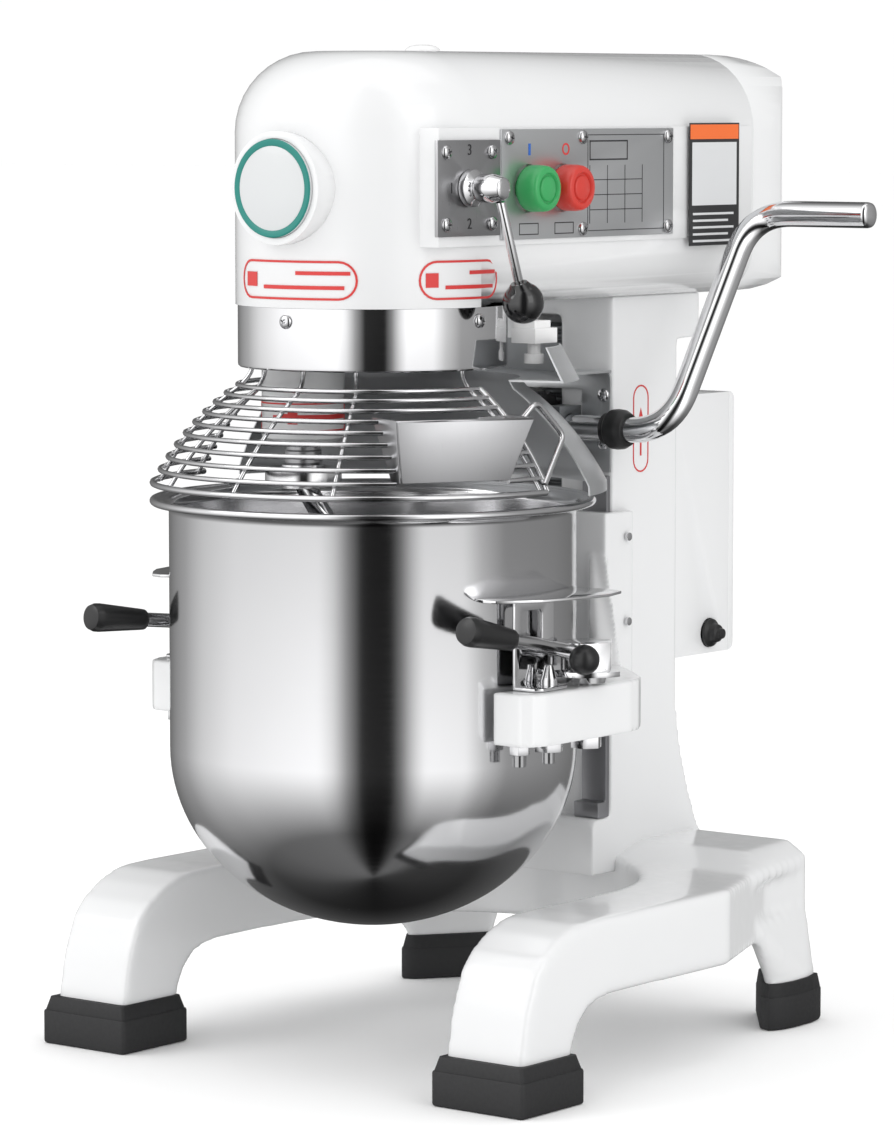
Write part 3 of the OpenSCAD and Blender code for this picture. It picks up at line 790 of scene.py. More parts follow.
@dataclass
class Column:
    """The upright casting with its slide ways and electrical box."""

    half: float = 54.0
    front: float = 169.0
    back: float = 238.0

    def build(self) -> None:
        """Makes the column, its ways and the box at its back."""
        side = [(150, 96), (150, 127), (153, 131), (self.front, 131), (self.front, 456), (263, 456),
                (263, 432), (259, 428), (self.back, 427)]
        side += [(self.back + 32 * (i / 12) ** 2.2, 225 - 120 * i / 12) for i in range(13)]
        side += [(self.back + 32, 96)]
        shell = prism("column_shell", [(-self.half, y, z) for y, z in side], (2 * self.half, 0, 0))
        cut(shell, slab("slot", (-14, self.front - 1, 140), (14, self.front + 26, 444), 0))
        cast(shell, 2.0, 4)
        finish_piece(shell, ENAMEL_CAST, Body.STAND, "white_enamel", "column_casting")
        self.label()
        dressed_node("guide_strips", WAY_STEEL, Body.STAND, "way_steel", 0.8)
        dressed_node("shield_bracket", ALUMINIUM, Body.STAND, "steel", 0.3)
        dressed_node("shaft_bearings", CAST_GREY, Body.STAND, "cast_grey", 0.8)
        dressed_node("electrical_box", ENAMEL, Body.STAND, "white_enamel", 1.0)
        dressed_node("box_lid", ENAMEL, Body.STAND, "white_enamel", 0.8, 40)
        dressed_node("contactor", WHITE_PLASTIC, Body.STAND, "white_plastic", 1.0)
        dressed_node("reset_button", SOFT_BLACK, Body.RESET, "black_rubber", 0.3)

    def label(self) -> None:
        """A printed outline with an arrow on the column's right side, behind the crank."""
        x, middle, tall, wide = self.half - 0.1, (199.4, 372.8), 19.2, 8.2
        rows = []
        for shrink in (0.0, 1.0):
            flat = arc_row((0, tall), wide - shrink, 0, 180, 10) + arc_row((0, -tall), wide - shrink, 180,
                                                                           360, 10)
            rows.append([(x, middle[0] + y, middle[1] + z) for y, z in flat])
        rim = outline_band("lift_label", rows[0], rows[1], 0.6)
        arrow = [(-0.8, -17), (0.8, -17), (0.8, 4), (3.2, 4), (0, 13), (-3.2, 4), (-0.8, 4)]
        shape = prism("lift_arrow", [(x - 0.3, middle[0] + y, middle[1] + z) for y, z in arrow], (0.6, 0, 0))
        finish_piece(joined("lift_label", [rim, shape]), RED_INK, Body.STAND, "red_rubber")


@dataclass
class Head:
    """The head casting, rear cover and cap."""

    def build(self) -> None:
        """Dresses the castings and the drive inside them."""
        dressed_node("head_casting", ENAMEL, Body.STAND, "white_enamel", 1.2, 40)
        dressed_node("rear_cover", ENAMEL, Body.STAND, "white_enamel", 0.8, 50)
        dressed_node("oil_cap", WHITE_PLASTIC, Body.STAND, "white_plastic", 0.5)
        for node, finish, body, slot in (
                ("motor_body", CAST_GREY, Body.STAND, "cast_grey"),
                ("ring_gear", CAST_GREY, Body.STAND, "cast_grey"),
                ("shift_rod", SATIN_STEEL, Body.STAND, "steel"),
                ("drive_belt", SOFT_BLACK, Body.STAND, "black_rubber"),
                ("main_shaft", SATIN_STEEL, Body.PLANETARY, "steel"),
                ("main_gears", CAST_GREY, Body.PLANETARY, "cast_grey"),
                ("planet_pinion", CAST_GREY, Body.AGITATOR, "cast_grey"),
                ("motor_shaft", SATIN_STEEL, Body.ROTOR, "steel"),
                ("motor_pulley", CAST_GREY, Body.ROTOR, "cast_grey"),
                ("lay_shaft", SATIN_STEEL, Body.LAYSHAFT, "steel"),
                ("driven_pulley", CAST_GREY, Body.LAYSHAFT, "cast_grey"),
                ("shift_fork", CAST_GREY, Body.FORK, "cast_grey"),
                ("gear_cluster", CAST_GREY, Body.CLUSTER, "cast_grey")):
            dressed_node(node, finish, body, slot, 0.25)


# ---- what is bolted or printed on the head ----


@dataclass
class Badge:
    """The round badge on the front: a raised rim, a coloured ring and a plain face."""

    height: float = 526.0
    front: float = -92.6

    def build(self) -> None:
        """Makes the badge with no lettering."""
        dressed_node("badge_rim", ENAMEL, Body.STAND, "white_enamel", 1.6, 40)
        centre = (0.0, self.front, self.height)
        face = turned("badge_face", [(0, 0), (24.6, 0), (24.6, 0.5), (24.0, 0.8), (0, 0.8)], centre,
                      (0, -1, 0))
        finish_piece(face, BADGE_GREY, Body.STAND, "badge_grey", "badge_disc", shade=35)
        band = turned("badge_band", [(24.6, 0), (28.7, 0), (28.7, 0.4), (28.0, 0.9), (25.2, 0.9),
                                     (24.6, 0.5)],
                      centre, (0, -1, 0), closed=True)
        finish_piece(band, TEAL_INK, Body.STAND, "badge_grey", shade=35)
        back = turned("badge_back", [(0, 0), (28.7, 0), (28.7, 3.4), (0, 3.4)], (0, -89.2, self.height),
                      (0, -1, 0))
        finish_piece(back, BADGE_GREY, Body.STAND, "badge_grey")


@dataclass
class Sticker:
    """A pill-shaped outline printed on the round front of the head."""

    name: str
    middle: float
    half_turn: float
    low: float
    high: float
    radius: float = 82.25
    line: float = 1.3

    def pill(self, shrink: float) -> List[Point]:
        """The outline on the cylinder, drawn in by shrink millimetres.

        Args:
            shrink: how far it is drawn in, in millimetres.

        Returns:
            Its points in the machine's frame.
        """
        tall = (self.high - self.low) / 2 - shrink
        long = math.radians(self.half_turn) * self.radius - shrink
        centre_z = (self.low + self.high) / 2
        flat: List[Pair] = arc_row((long - tall, 0), tall, -90, 90, 12)
        flat += arc_row((tall - long, 0), tall, 90, 270, 12)
        row: List[Point] = []
        for (ax, az), (bx, bz) in zip(flat, flat[1:] + flat[:1]):
            parts = max(1, int(abs(bx - ax) / 3.0))
            for i in range(parts):
                s = ax + (bx - ax) * i / parts
                z = az + (bz - az) * i / parts
                turn = math.radians(self.middle) + s / self.radius
                row.append((self.radius * math.sin(turn), -self.radius * math.cos(turn), centre_z + z))
        return row

    def build(self) -> None:
        """Makes the red outline and the plain bars inside it."""
        marks = [outline_band(self.name, self.pill(0.0), self.pill(self.line), 0.3)]
        middle = (self.low + self.high) / 2
        for i, (start, end, z, half) in enumerate(((0.12, 0.9, 4.2, 1.1), (-0.45, 0.82, -4.2, 1.1),
                                                   (-0.86, -0.6, 0.0, 4.2))):
            turns = (self.middle - 90 + self.half_turn * start, self.middle - 90 + self.half_turn * end)
            marks.append(curved_bar(f"bar_{i}", (0, 0), self.radius, turns,
                                    (middle + z - half, middle + z + half)))
        finish_piece(joined(self.name, marks), RED_INK, Body.STAND, "red_rubber")


@dataclass
class Screws:
    """Pan-head cross-slot screws, one modelled and the rest copied."""

    plane: float = 84.0
    collar: float = 80.7

    def master(self) -> Piece:
        """One screw head that points along +Z.

        Returns:
            The head at the origin.
        """
        head = turned("screw", [(0, 0), (4.3, 0), (4.3, 0.5), (4.0, 1.3), (3.2, 2.0), (2.0, 2.5), (0, 2.7)],
                      steps=28)
        cross = slab("cross_a", (-0.45, -2.1, 1.2), (0.45, 2.1, 4.0), 0)
        cut(cross, slab("cross_b", (-2.1, -0.45, 1.2), (2.1, 0.45, 4.0), 0), "UNION")
        cut(head, cross)
        return head

    def build(self) -> None:
        """Places all the screws of the plates, collar, bracket and box."""
        spots = [((self.plane + 2.5, y, z), (1, 0, 0)) for y in (-39, 4.5) for z in (505, 547)]
        spots += [((self.plane + 1.5, y, z), (1, 0, 0)) for y, z in ((22, 555), (95, 555), (183, 555),
                                                                    (95, 500), (183, 500))]
        for turn in (-90, 0, 180):
            x, y = math.cos(math.radians(turn)), math.sin(math.radians(turn))
            spots.append(((self.collar * x, self.collar * y, 448), (x, y, 0)))
        for side in (1, -1):
            spots += [((48.6 * side, 167.5, z), (0, -1, 0)) for z in (365, 395)]
            spots += [((44 * side, 308, z), (0, 1, 0)) for z in (230, 385)]
        first = self.master()
        heads = []
        for i, (at, along) in enumerate(spots):
            head = first.copy()
            head.data = first.data.copy()
            head.name = f"screw_{i}"
            bpy.context.collection.objects.link(head)
            aim = Vector(along).to_track_quat("Z", "Y").to_matrix().to_4x4()
            spin = Matrix.Rotation(math.radians(17 * i), 4, "Z")
            head.data.transform(Matrix.Translation(Vector(at) * MM) @ aim @ spin)
            heads.append(head)
        bpy.data.objects.remove(first)
        group = joined("screw_heads", heads)
        finish_piece(group, WIRE_STEEL, Body.STAND, "steel", "pan_screws", shade=40)


@dataclass
class Controls:
    """Speed plate, control plate, buttons and the speed lever."""

    plane: float = 84.0
    button_z: float = 525.0
    button_y: Pair = (41.0, 75.0)

    def bar(self, name: str, low: Pair, high: Pair, lift: float, thick: float = 0.2) -> Piece:
        """A thin rectangle on the side plates.

        Args:
            name: its name.
            low: lowest corner as (y, z) in millimetres.
            high: highest corner.
            lift: height of its foot above the plane.
            thick: how thick it is.

        Returns:
            The rectangle as a solid.
        """
        x = self.plane + lift
        return prism(name, [(x, low[0], low[1]), (x, high[0], low[1]), (x, high[0], high[1]),
                            (x, low[0], high[1])],
                     (thick, 0, 0))

    def mark(self, name: str, low: Pair, high: Pair, lift: float, finish: Finish) -> None:
        """A printed rectangle in an ink of its own, with the arguments of bar."""
        finish_piece(self.bar(name, low, high, lift, 0.22), finish, Body.STAND, "black_plastic")

    def frame_mark(self, name: str, low: Pair, high: Pair, line: float) -> None:
        """A printed rectangle outline.

        Args:
            name: its name.
            low: lowest corner as (y, z) in millimetres.
            high: highest corner.
            line: width of the line.
        """
        ends = ((low, (high[0], low[1] + line)), ((low[0], high[1] - line), high),
                (low, (low[0] + line, high[1])), ((high[0] - line, low[1]), high))
        bars = [self.bar("bar", start, end, 1.4) for start, end in ends]
        finish_piece(joined(name, bars), BLACK_INK, Body.STAND, "black_plastic")

    def digit(self, name: str, text: str, at: Pair, size: float) -> None:
        """A number or mark on a plate, made a mesh before it is placed.

        Args:
            name: the mark's name.
            text: what is printed.
            at: its middle as (y, z).
            size: its height in millimetres.
        """
        clear_selection()
        bpy.ops.object.text_add()
        mark = bpy.context.object
        mark.data.body = text
        mark.data.size = size * MM
        mark.data.align_x = "CENTER"
        mark.data.align_y = "CENTER"
        mark.data.extrude = 0.12 * MM
        bpy.ops.object.convert(target="MESH")
        mark = bpy.context.object
        mark.name = name
        turn = Matrix(((0, 0, 1, 0), (1, 0, 0, 0), (0, 1, 0, 0), (0, 0, 0, 1)))
        mark.data.transform(Matrix.Translation(Vector((self.plane + 2.6, at[0], at[1])) * MM) @ turn)
        tidy(mark)
        finish_piece(mark, BLACK_INK, Body.STAND, "black_plastic")

    def button(self, node: str, finish: Finish, body: Body, slot: str, y: float) -> None:
        """One soft button with rings moulded in its face.

        Args:
            node: the CAD node that it replaces.
            finish: its rubber.
            body: what it moves with.
            slot: handed on to finish_piece.
            y: its place along the head in millimetres.
        """
        profile = [(0, 15.0), (6.6, 15.0), (7.2, 14.6), (7.6, 13.7), (8.6, 13.7), (9.0, 14.6), (9.6, 15.2),
                   (11.6, 15.0), (12.8, 14.2), (13.4, 12.8), (13.8, 10), (13.9, 3), (13.4, 1.0), (12.6, 0),
                   (0, 0)]
        cap = turned(node + "_cap", profile, (self.plane + 1.8, y, self.button_z), (1, 0, 0), 72)
        cut(cap, plug(7, 0, 22.4, (self.plane - 20.2, y, self.button_z), (1, 0, 0)), "UNION")
        finish_piece(cap, finish, body, slot,
                     node, shade=40)

    def build(self) -> None:
        """Makes the plates, their printing, the buttons and the lever."""
        dressed_node("gear_plate", SATIN_STEEL, Body.STAND, "polished_steel", 0.35)
        dressed_node("control_plate", ALUMINIUM, Body.STAND, "plate_aluminium", 0.25)
        for text, at in (("1", (-34, 526)), ("2", (-17, 505)), ("3", (-17, 548))):
            self.digit("speed_" + text, text, at, 9)
        self.mark("start_bar", (40.9, 544.5), (43.1, 551.5), 1.45, BLUE_INK)
        ring = turned("stop_ring", [(2.5, 0), (3.6, 0), (3.6, 0.22), (2.5, 0.22)],
                      (self.plane + 1.45, 78, 548),
                      (1, 0, 0), 32, closed=True)
        finish_piece(ring, RED_INK, Body.STAND, "red_rubber")
        self.frame_mark("start_tab", (32, 497.5), (51, 504.5), 0.6)
        self.frame_mark("stop_tab", (67, 497.5), (86, 504.5), 0.6)
        self.frame_mark("plate_border", (100, 498.5), (179, 556.5), 0.5)
        for i, z in enumerate((511, 520, 529)):
            self.mark(f"table_line_{i}", (102, z), (156, z + 0.5), 1.4, BLACK_INK)
        for i, y in enumerate((102, 120, 138, 156)):
            self.mark(f"table_post_{i}", (y, 503), (y + 0.5, 538), 1.4, BLACK_INK)
        self.frame_mark("table_head", (102, 541), (141, 553), 0.9)
        self.button("start_button", GREEN_CAP, Body.START, "green_rubber", self.button_y[0])
        self.button("stop_button", RED_CAP, Body.STOP, "red_rubber", self.button_y[1])
        dressed_node("lever_hub", MIRROR_STEEL, Body.LEVER, "polished_steel", 0.4)
        dressed_node("lever_rod", MIRROR_STEEL, Body.LEVER, "polished_steel", 0.3)
        axis, ball = Vector((107, -17, 526)), Vector((107, 8, 459))
        run = (axis - ball).normalized()
        profile = [(0, -12.4)] + [(12.4 * math.cos(math.radians(a)), 12.4 * math.sin(math.radians(a)))
                                  for a in range(-80, 60, 8)] + [(6.0, 11.6), (5.0, 12.6), (3.0, 12.6)]
        knob = turned("lever_ball", profile + [(3.0, 8), (0, 8)], tuple(ball), tuple(run), 48)
        finish_piece(knob, BALL_BLACK, Body.LEVER, "black_plastic", "lever_knob", shade=40)
        self.label()

    def label(self) -> None:
        """A plain two-tone plate at the rear of the head, with no lettering."""
        self.mark("notice_plate", (205, 487), (259, 563), 2.05, BLACK_INK)
        self.mark("notice_band", (206, 553), (258, 562), 2.2, ORANGE_INK)
        self.mark("notice_field", (208, 512), (256, 551), 2.2, FILM)
        for i in range(5):
            z = 507 - 4.2 * i
            self.mark(f"notice_row_{i}", (209, z - 1), (253 - 6 * (i % 2), z + 0.4), 2.2, FILM)


# ---- collar, guard and shield ----


@dataclass
class Guard:
    """Collar ring, wire guard, feed chute, rear shield and its switch."""

    rings: int = 10
    wire_r: float = 1.5
    first: float = -179.0
    last: float = -1.0
    gate: Pair = (-45.0, -13.0)
    gate_heights: Pair = (356.0, 395.0)
    ribs: Tuple[Pair, ...] = ((-177.0, 2.0), (-144.0, -6.0), (-111.0, -8.0), (-84.0, -6.0), (-58.0, -3.5),
                              (-5.0, 3.0))

    def radius(self, t: float) -> float:
        """Radius of the guard at t, from 0 at the top ring to 1 at the lowest."""
        return 81 + 51 * (1.25 * t - 0.25 * t * t)

    def height(self, t: float) -> float:
        """Height of the guard at t."""
        return 408 - 58.5 * (0.75 * t + 0.25 * t * t)

    def gated(self, t: float) -> bool:
        """Whether the chute breaks the ring at t."""
        return self.gate_heights[0] < self.height(t) < self.gate_heights[1]

    def at(self, t: float, turn: float, out: float = 0.0) -> Point:
        """A point of the guard at t and a bearing in degrees.

        Args:
            t: 0 at the top ring to 1 at the lowest.
            turn: bearing in degrees from +X.
            out: distance outside the guard in millimetres.

        Returns:
            The point in millimetres.
        """
        a = math.radians(turn)
        r = self.radius(t) + out
        return (r * math.cos(a), r * math.sin(a), self.height(t))

    def ring(self, name: str, t: float, start: float, end: float, radius: float) -> Piece:
        """One ring wire between two bearings.

        Args:
            name: the wire's name.
            t: 0 at the top ring to 1 at the lowest.
            start: bearing where it begins, in degrees.
            end: bearing where it ends.
            radius: half its thickness in millimetres.

        Returns:
            The wire.
        """
        count = max(6, int((end - start) / 3))
        return wire(name, [self.at(t, start + (end - start) * i / count) for i in range(count + 1)], radius,
                    sides=2)

    def rib(self, name: str, turn: float, lean: float = 7.0) -> Piece:
        """One slanted upright wire that hooks over the top ring and the turning ring.

        Args:
            name: the wire's name.
            turn: bearing of its top in degrees.
            lean: how far its foot is turned from its top.

        Returns:
            The wire.
        """
        steps = 12
        a = math.radians(turn + lean * 0.2)
        row: List[Point] = [(r * math.cos(a), r * math.sin(a), z) for r, z in ((72.2, 424), (72.4, 415))]
        for i in range(steps + 1):
            t = i / steps
            x, y, z = self.at(t, turn + lean * t, -2.2)
            row.append((x, y, z - 0.6))
        return wire(name, rounded(row, 5, 4), 1.35, sides=2)

    def bead(self, name: str, at: Point, radius: float) -> Piece:
        """A weld bead where two wires cross.

        Args:
            name: the bead's name.
            at: its middle in millimetres.
            radius: its radius.

        Returns:
            The bead.
        """
        clear_selection()
        bpy.ops.mesh.primitive_uv_sphere_add(segments=8, ring_count=6, radius=radius * MM,
                                             location=Vector(at) * MM)
        drop = bpy.context.object
        drop.name = name
        bpy.context.view_layer.update()
        settle(drop)
        return drop

    def build_cage(self) -> None:
        """Makes rings, ribs, weld beads, end bar and the bent handle."""
        parts: List[Piece] = []
        for i in range(self.rings):
            t = i / (self.rings - 1)
            thick = 1.9 if i == self.rings - 1 else self.wire_r
            if self.gated(t):
                parts.append(self.ring(f"ring_{i}a", t, self.first, self.gate[0], thick))
                parts.append(self.ring(f"ring_{i}b", t, self.gate[1], self.last, thick))
            else:
                parts.append(self.ring(f"ring_{i}", t, self.first, self.last, thick))
        for i, (turn, lean) in enumerate(self.ribs):
            parts.append(self.rib(f"rib_{i}", turn, lean))
            for j in range(self.rings):
                t = j / (self.rings - 1)
                crossing = turn + lean * t
                if self.gate[0] < crossing < self.gate[1] and self.gated(t):
                    continue
                parts.append(self.bead(f"bead_{i}_{j}", self.at(t, crossing, -1.1), 1.8))
        end = [self.at(i / 10, self.last, 0.0) for i in range(11)]
        parts.append(wire("end_bar", [(x, y + 1.2, z) for x, y, z in end], 1.9))
        handle = [(118, -9, 391), (121, 2, 402), (124, 25, 381), (131, -3, 354)]
        parts.append(wire("handle", rounded(handle, 6), 1.8, sides=4))
        cage = joined("cage_wires", parts)
        finish_piece(cage, WIRE_STEEL, Body.GUARD, "polished_steel", "guard_cage", shade=60)

    def build_chute(self) -> None:
        """Makes the folded sheet chute, open at the top and towards the bowl."""
        turn = Matrix.Translation(Vector((92, -88, 0)) * MM) @ Matrix.Rotation(math.radians(60.6), 4, "Z")
        front = prism("chute_skin", [(0, -1.4, 358), (67, -1.4, 358), (82.5, -1.4, 393), (-3, -1.4, 393)],
                      (0, 1.4, 0))
        left = prism("chute_left", [(-1.4, 0, 358), (-1.4, 12, 358), (-3.2, 38, 394), (-3.2, 0, 394)],
                     (1.4, 0, 0))
        right = prism("chute_right", [(67, 0, 358), (67, 10, 358), (80, 34, 394), (82, 0, 394)], (1.2, 0, 0))
        skin = joined("chute_skin", [front, left, right])
        skin.data.transform(turn)
        modify(skin, "BEVEL", width=0.4 * MM, segments=2, limit_method="ANGLE")
        smooth(skin)
        lip = wire("chute_lip", [(-3, 0, 393.2), (82.5, 0, 393.2)], 0.9)
        lip.data.transform(turn)
        skin = joined("chute_skin", [skin, lip])
        finish_piece(skin, SATIN_STEEL, Body.GUARD, "steel", "feed_chute")

    def build_shield(self) -> None:
        """Makes the pressed rear shield with its skirt and rolled edges."""
        steps = 24
        outer = [(self.radius(i / steps) + 8.2, self.height(i / steps) + 1) for i in range(steps + 1)]
        inner = [(self.radius(i / steps) + 7.1, self.height(i / steps) + 1) for i in range(steps, -1, -1)]
        shape = [(88, 412.4), (121.5, 412.4), (111.6, 432), (112.8, 431.6), (123.6, 411.2), (89.2, 411.2)]
        profile = shape + outer[1:] + [(140.4, 345.2), (139.2, 345.2)] + inner[:-1]
        skin = turned("shield_skin", profile, (0, 0, 0), (0, 0, 1), 96, True, 151)
        skin.data.transform(Matrix.Rotation(math.radians(14.5), 4, "Z"))
        edit(skin, partial(bpy.ops.mesh.fill_holes, sides=0), OUTWARDS)
        finish_piece(skin, ALUMINIUM, Body.STAND, "steel", "rear_shield", shade=30)

    def build(self) -> None:
        """Makes everything round the bowl's mouth."""
        ring = turned("collar_skin", [(74, 419.2), (79.6, 419), (80.5, 419.9), (80.7, 421), (80.7, 455.8),
                                      (79, 455.8), (79, 420.6), (74, 420.6)], steps=128, closed=True)
        finish_piece(ring, MIRROR_STEEL, Body.STAND, "polished_steel", "collar_ring", shade=30)
        self.build_cage()
        self.build_chute()
        self.build_shield()
        dressed_node("guard_runner", WHITE_PLASTIC, Body.GUARD, "white_plastic", 0.4)
        dressed_node("switch_block", WHITE_PLASTIC, Body.STAND, "white_plastic", 0.8)
        dressed_node("switch_plunger", WHITE_PLASTIC, Body.SWITCH, "white_plastic", 0.5)


@dataclass
class MixingHead:
    """The turning head under the collar, its shaft and the tool."""

    at: Pair = (-31.0, -28.0)

    def build(self) -> None:
        """Makes the drum, the boss, the shaft and the hook."""
        drum = turned("drum_skin", [(0, 424.2), (64, 424.2), (67.6, 427.5), (67.9, 430), (67.9, 451.8),
                                    (0, 451.8)],
                      steps=128)
        boss = turned("boss", [(0, 374.2), (22, 374.2), (24.6, 376.5), (24.8, 379), (24.8, 424.8),
                               (0, 424.8)],
                      (*self.at, 0), steps=64)
        cut(drum, boss, "UNION")
        cut(drum, plug(11.3, 370, 460, (*self.at, 0)))
        finish_piece(drum, ENAMEL, Body.PLANETARY, "white_enamel", "planetary_drum", shade=30)
        shaft = turned("shaft_skin", [(0, 360), (9.6, 360), (11, 361.4), (11, 368), (10.4, 369), (10.4, 371),
                                      (11, 372), (11, 465), (10, 466), (0, 466)], (*self.at, 0))
        finish_piece(shaft, SATIN_STEEL, Body.AGITATOR, "steel", "agitator_shaft", shade=30)
        dressed_node("dough_hook", MIRROR_STEEL, Body.AGITATOR, "polished_steel", 0, 60)
        marks = []
        for i, (turns, heights) in enumerate((((-141, 31), (381, 381.9)), ((-141, 31), (397.1, 398)),
                                              ((-142, -139), (381, 398)), ((28, 31), (381, 398)),
                                              ((-60, 24), (388.2, 391)), ((-72, -58), (385.4, 392.6)),
                                              ((-84, -72), (386.8, 391.6)), ((-96, -84), (388, 390.6)))):
            marks.append(curved_bar(f"arrow_{i}", self.at, 24.95, turns, heights))
        mark = joined("turn_arrow", marks)
        finish_piece(mark, RED_INK, Body.PLANETARY, "red_rubber")


# ---- bowl and carrier ----


@dataclass
class BowlUnit:
    """The polished bowl with a rolled rim and its two bent brackets."""

    wall: float = 122.5
    rim: float = 134.0
    rim_z: float = 341.0
    low: float = 82.0
    sheet: float = 1.6

    def build(self) -> None:
        """Makes the bowl and the brackets."""
        depth = 108.0
        turns = [math.radians(a) for a in range(-90, 1, 3)]
        outer = [(self.wall * math.cos(a), self.low + depth + depth * math.sin(a)) for a in turns]
        inner = [((self.wall - self.sheet) * math.cos(a),
                  self.low + depth + (depth - self.sheet) * math.sin(a))
                 for a in reversed(turns)]
        rim = [(self.wall, self.rim_z - 9), (self.wall + 0.8, self.rim_z - 6.5),
               (self.wall + 3, self.rim_z - 4.6)]
        rim += arc_row((self.rim - 2.4, self.rim_z - 2.4), 2.35, -90, 150, 10)
        rim += [(self.wall + 4, self.rim_z - 1.6), (self.wall + 1, self.rim_z - 2.8),
                (self.wall - 1.2, self.rim_z - 6),
                (self.wall - self.sheet, self.rim_z - 9)]
        outer[0] = (0.0, outer[0][1])
        inner[-1] = (0.0, inner[-1][1])
        shell = turned("bowl_shell", outer + rim + inner, steps=160)
        finish_piece(shell, SPUN_STEEL, Body.BOWL, "polished_steel", "bowl", shade=40)
        self.build_brackets()

    def build_brackets(self) -> None:
        """Each bracket: a slotted upright, a foot with the pin hole, and a winged top plate."""
        plate = prism("bracket", [(126.6, -28, 235.4), (126.6, 10, 235.4), (126.6, 10, 289.5),
                                  (126.6, -28, 289.5)],
                      (1.8, 0, 0))
        slot = slab("slot", (120, -22, 257), (135, -1, 281), 3)
        cut(plate, slot)
        ear = prism("ear", [(126.6, -28, 235.3), (142, -27, 235.3), (145.6, -23, 235.3), (145.6, 0, 235.3),
                            (142, 5, 235.3), (126.6, 6, 235.3)], (0, 0, 1.8))
        cut(ear, plug(5.6, 230, 245, (136, -5, 0), steps=32))
        wing = prism("wing", [(112, -46, 288), (124, -52.5, 288), (132, -51, 288), (143, -38, 288),
                              (150, -27, 288),
                              (157, 2, 288), (159.5, 22, 288), (154, 42, 288), (146, 45.5, 288),
                              (112, 45.5, 288)],
                     (0, 0, 1.8))
        cut(wing, plug(122.6, 280, 300, steps=128))
        parts = [plate, ear, wing]
        for part in parts:
            modify(part, "BEVEL", width=0.5 * MM, segments=2, limit_method="ANGLE")
        right = joined("bracket_right", parts)
        fillet = wire("fold", [(127.6, -27.5, 288.2), (127.6, 9.5, 288.2)], 1.5)
        right = joined("bracket_right", [right, fillet])
        left = mirrored(right, "bracket_left")
        both = joined("bracket_skins", [right, left])
        finish_piece(both, MIRROR_STEEL, Body.BOWL, "polished_steel", "bowl_brackets", shade=35)


@dataclass
class Carrier:
    """The sliding yoke with its pins, nuts and rack."""

    low: float = 204.0
    top: float = 235.0
    half: float = 60.5

    def build(self) -> None:
        """Makes the yoke casting and dresses its hardware."""
        half = [(122, -39.6), (141, -39.6), (147, -35), (150.6, -26), (150.6, 56), (148, 68), (141, 80),
                (120, 100), (96, 120), (76, 138), (66, 147), (60.1, 152), (60.1, 183.4), (54.5, 183.4),
                (54.5, 164.6)]
        throat = arc_row((0, 0), 127.2, 180 + 18.1, -18.1, 48)
        plan = [(-x, y) for x, y in half] + list(reversed(half))
        yoke = prism("carrier_skin", [(x, y, self.low) for x, y in plan + list(reversed(throat))],
                     (0, 0, self.top - self.low))
        slide = [(60.1, 154), (60.1, 183.4), (54.5, 183.4), (54.5, 164.6)]
        slide += [(-x, y) for x, y in reversed(slide)]
        parts = [yoke, prism("slide", [(x, y, 206) for x, y in slide], (0, 0, 116.8))]
        for side in (Side.RIGHT, Side.LEFT):
            web = hull_of("web", [(58, 157, 304), (46, 157, 304), (60, 157, 215), (46, 157, 215),
                                  (97, 120, 215),
                                  (86, 112, 215), (97, 120, 236), (86, 112, 236), (74, 138, 262),
                                  (64, 132, 262)])
            if side is Side.LEFT:
                flip(web)
            parts.append(web)
        yoke = joined("carrier_skin", parts)
        cast(yoke, 1.5, 4)
        finish_piece(yoke, ENAMEL_CAST, Body.CARRIER, "white_enamel", "carrier_casting")
        dressed_node("lift_rack", CAST_GREY, Body.CARRIER, "cast_grey", 0.3)
        dressed_node("carrier_studs", WIRE_STEEL, Body.CARRIER, "steel", 0.5)


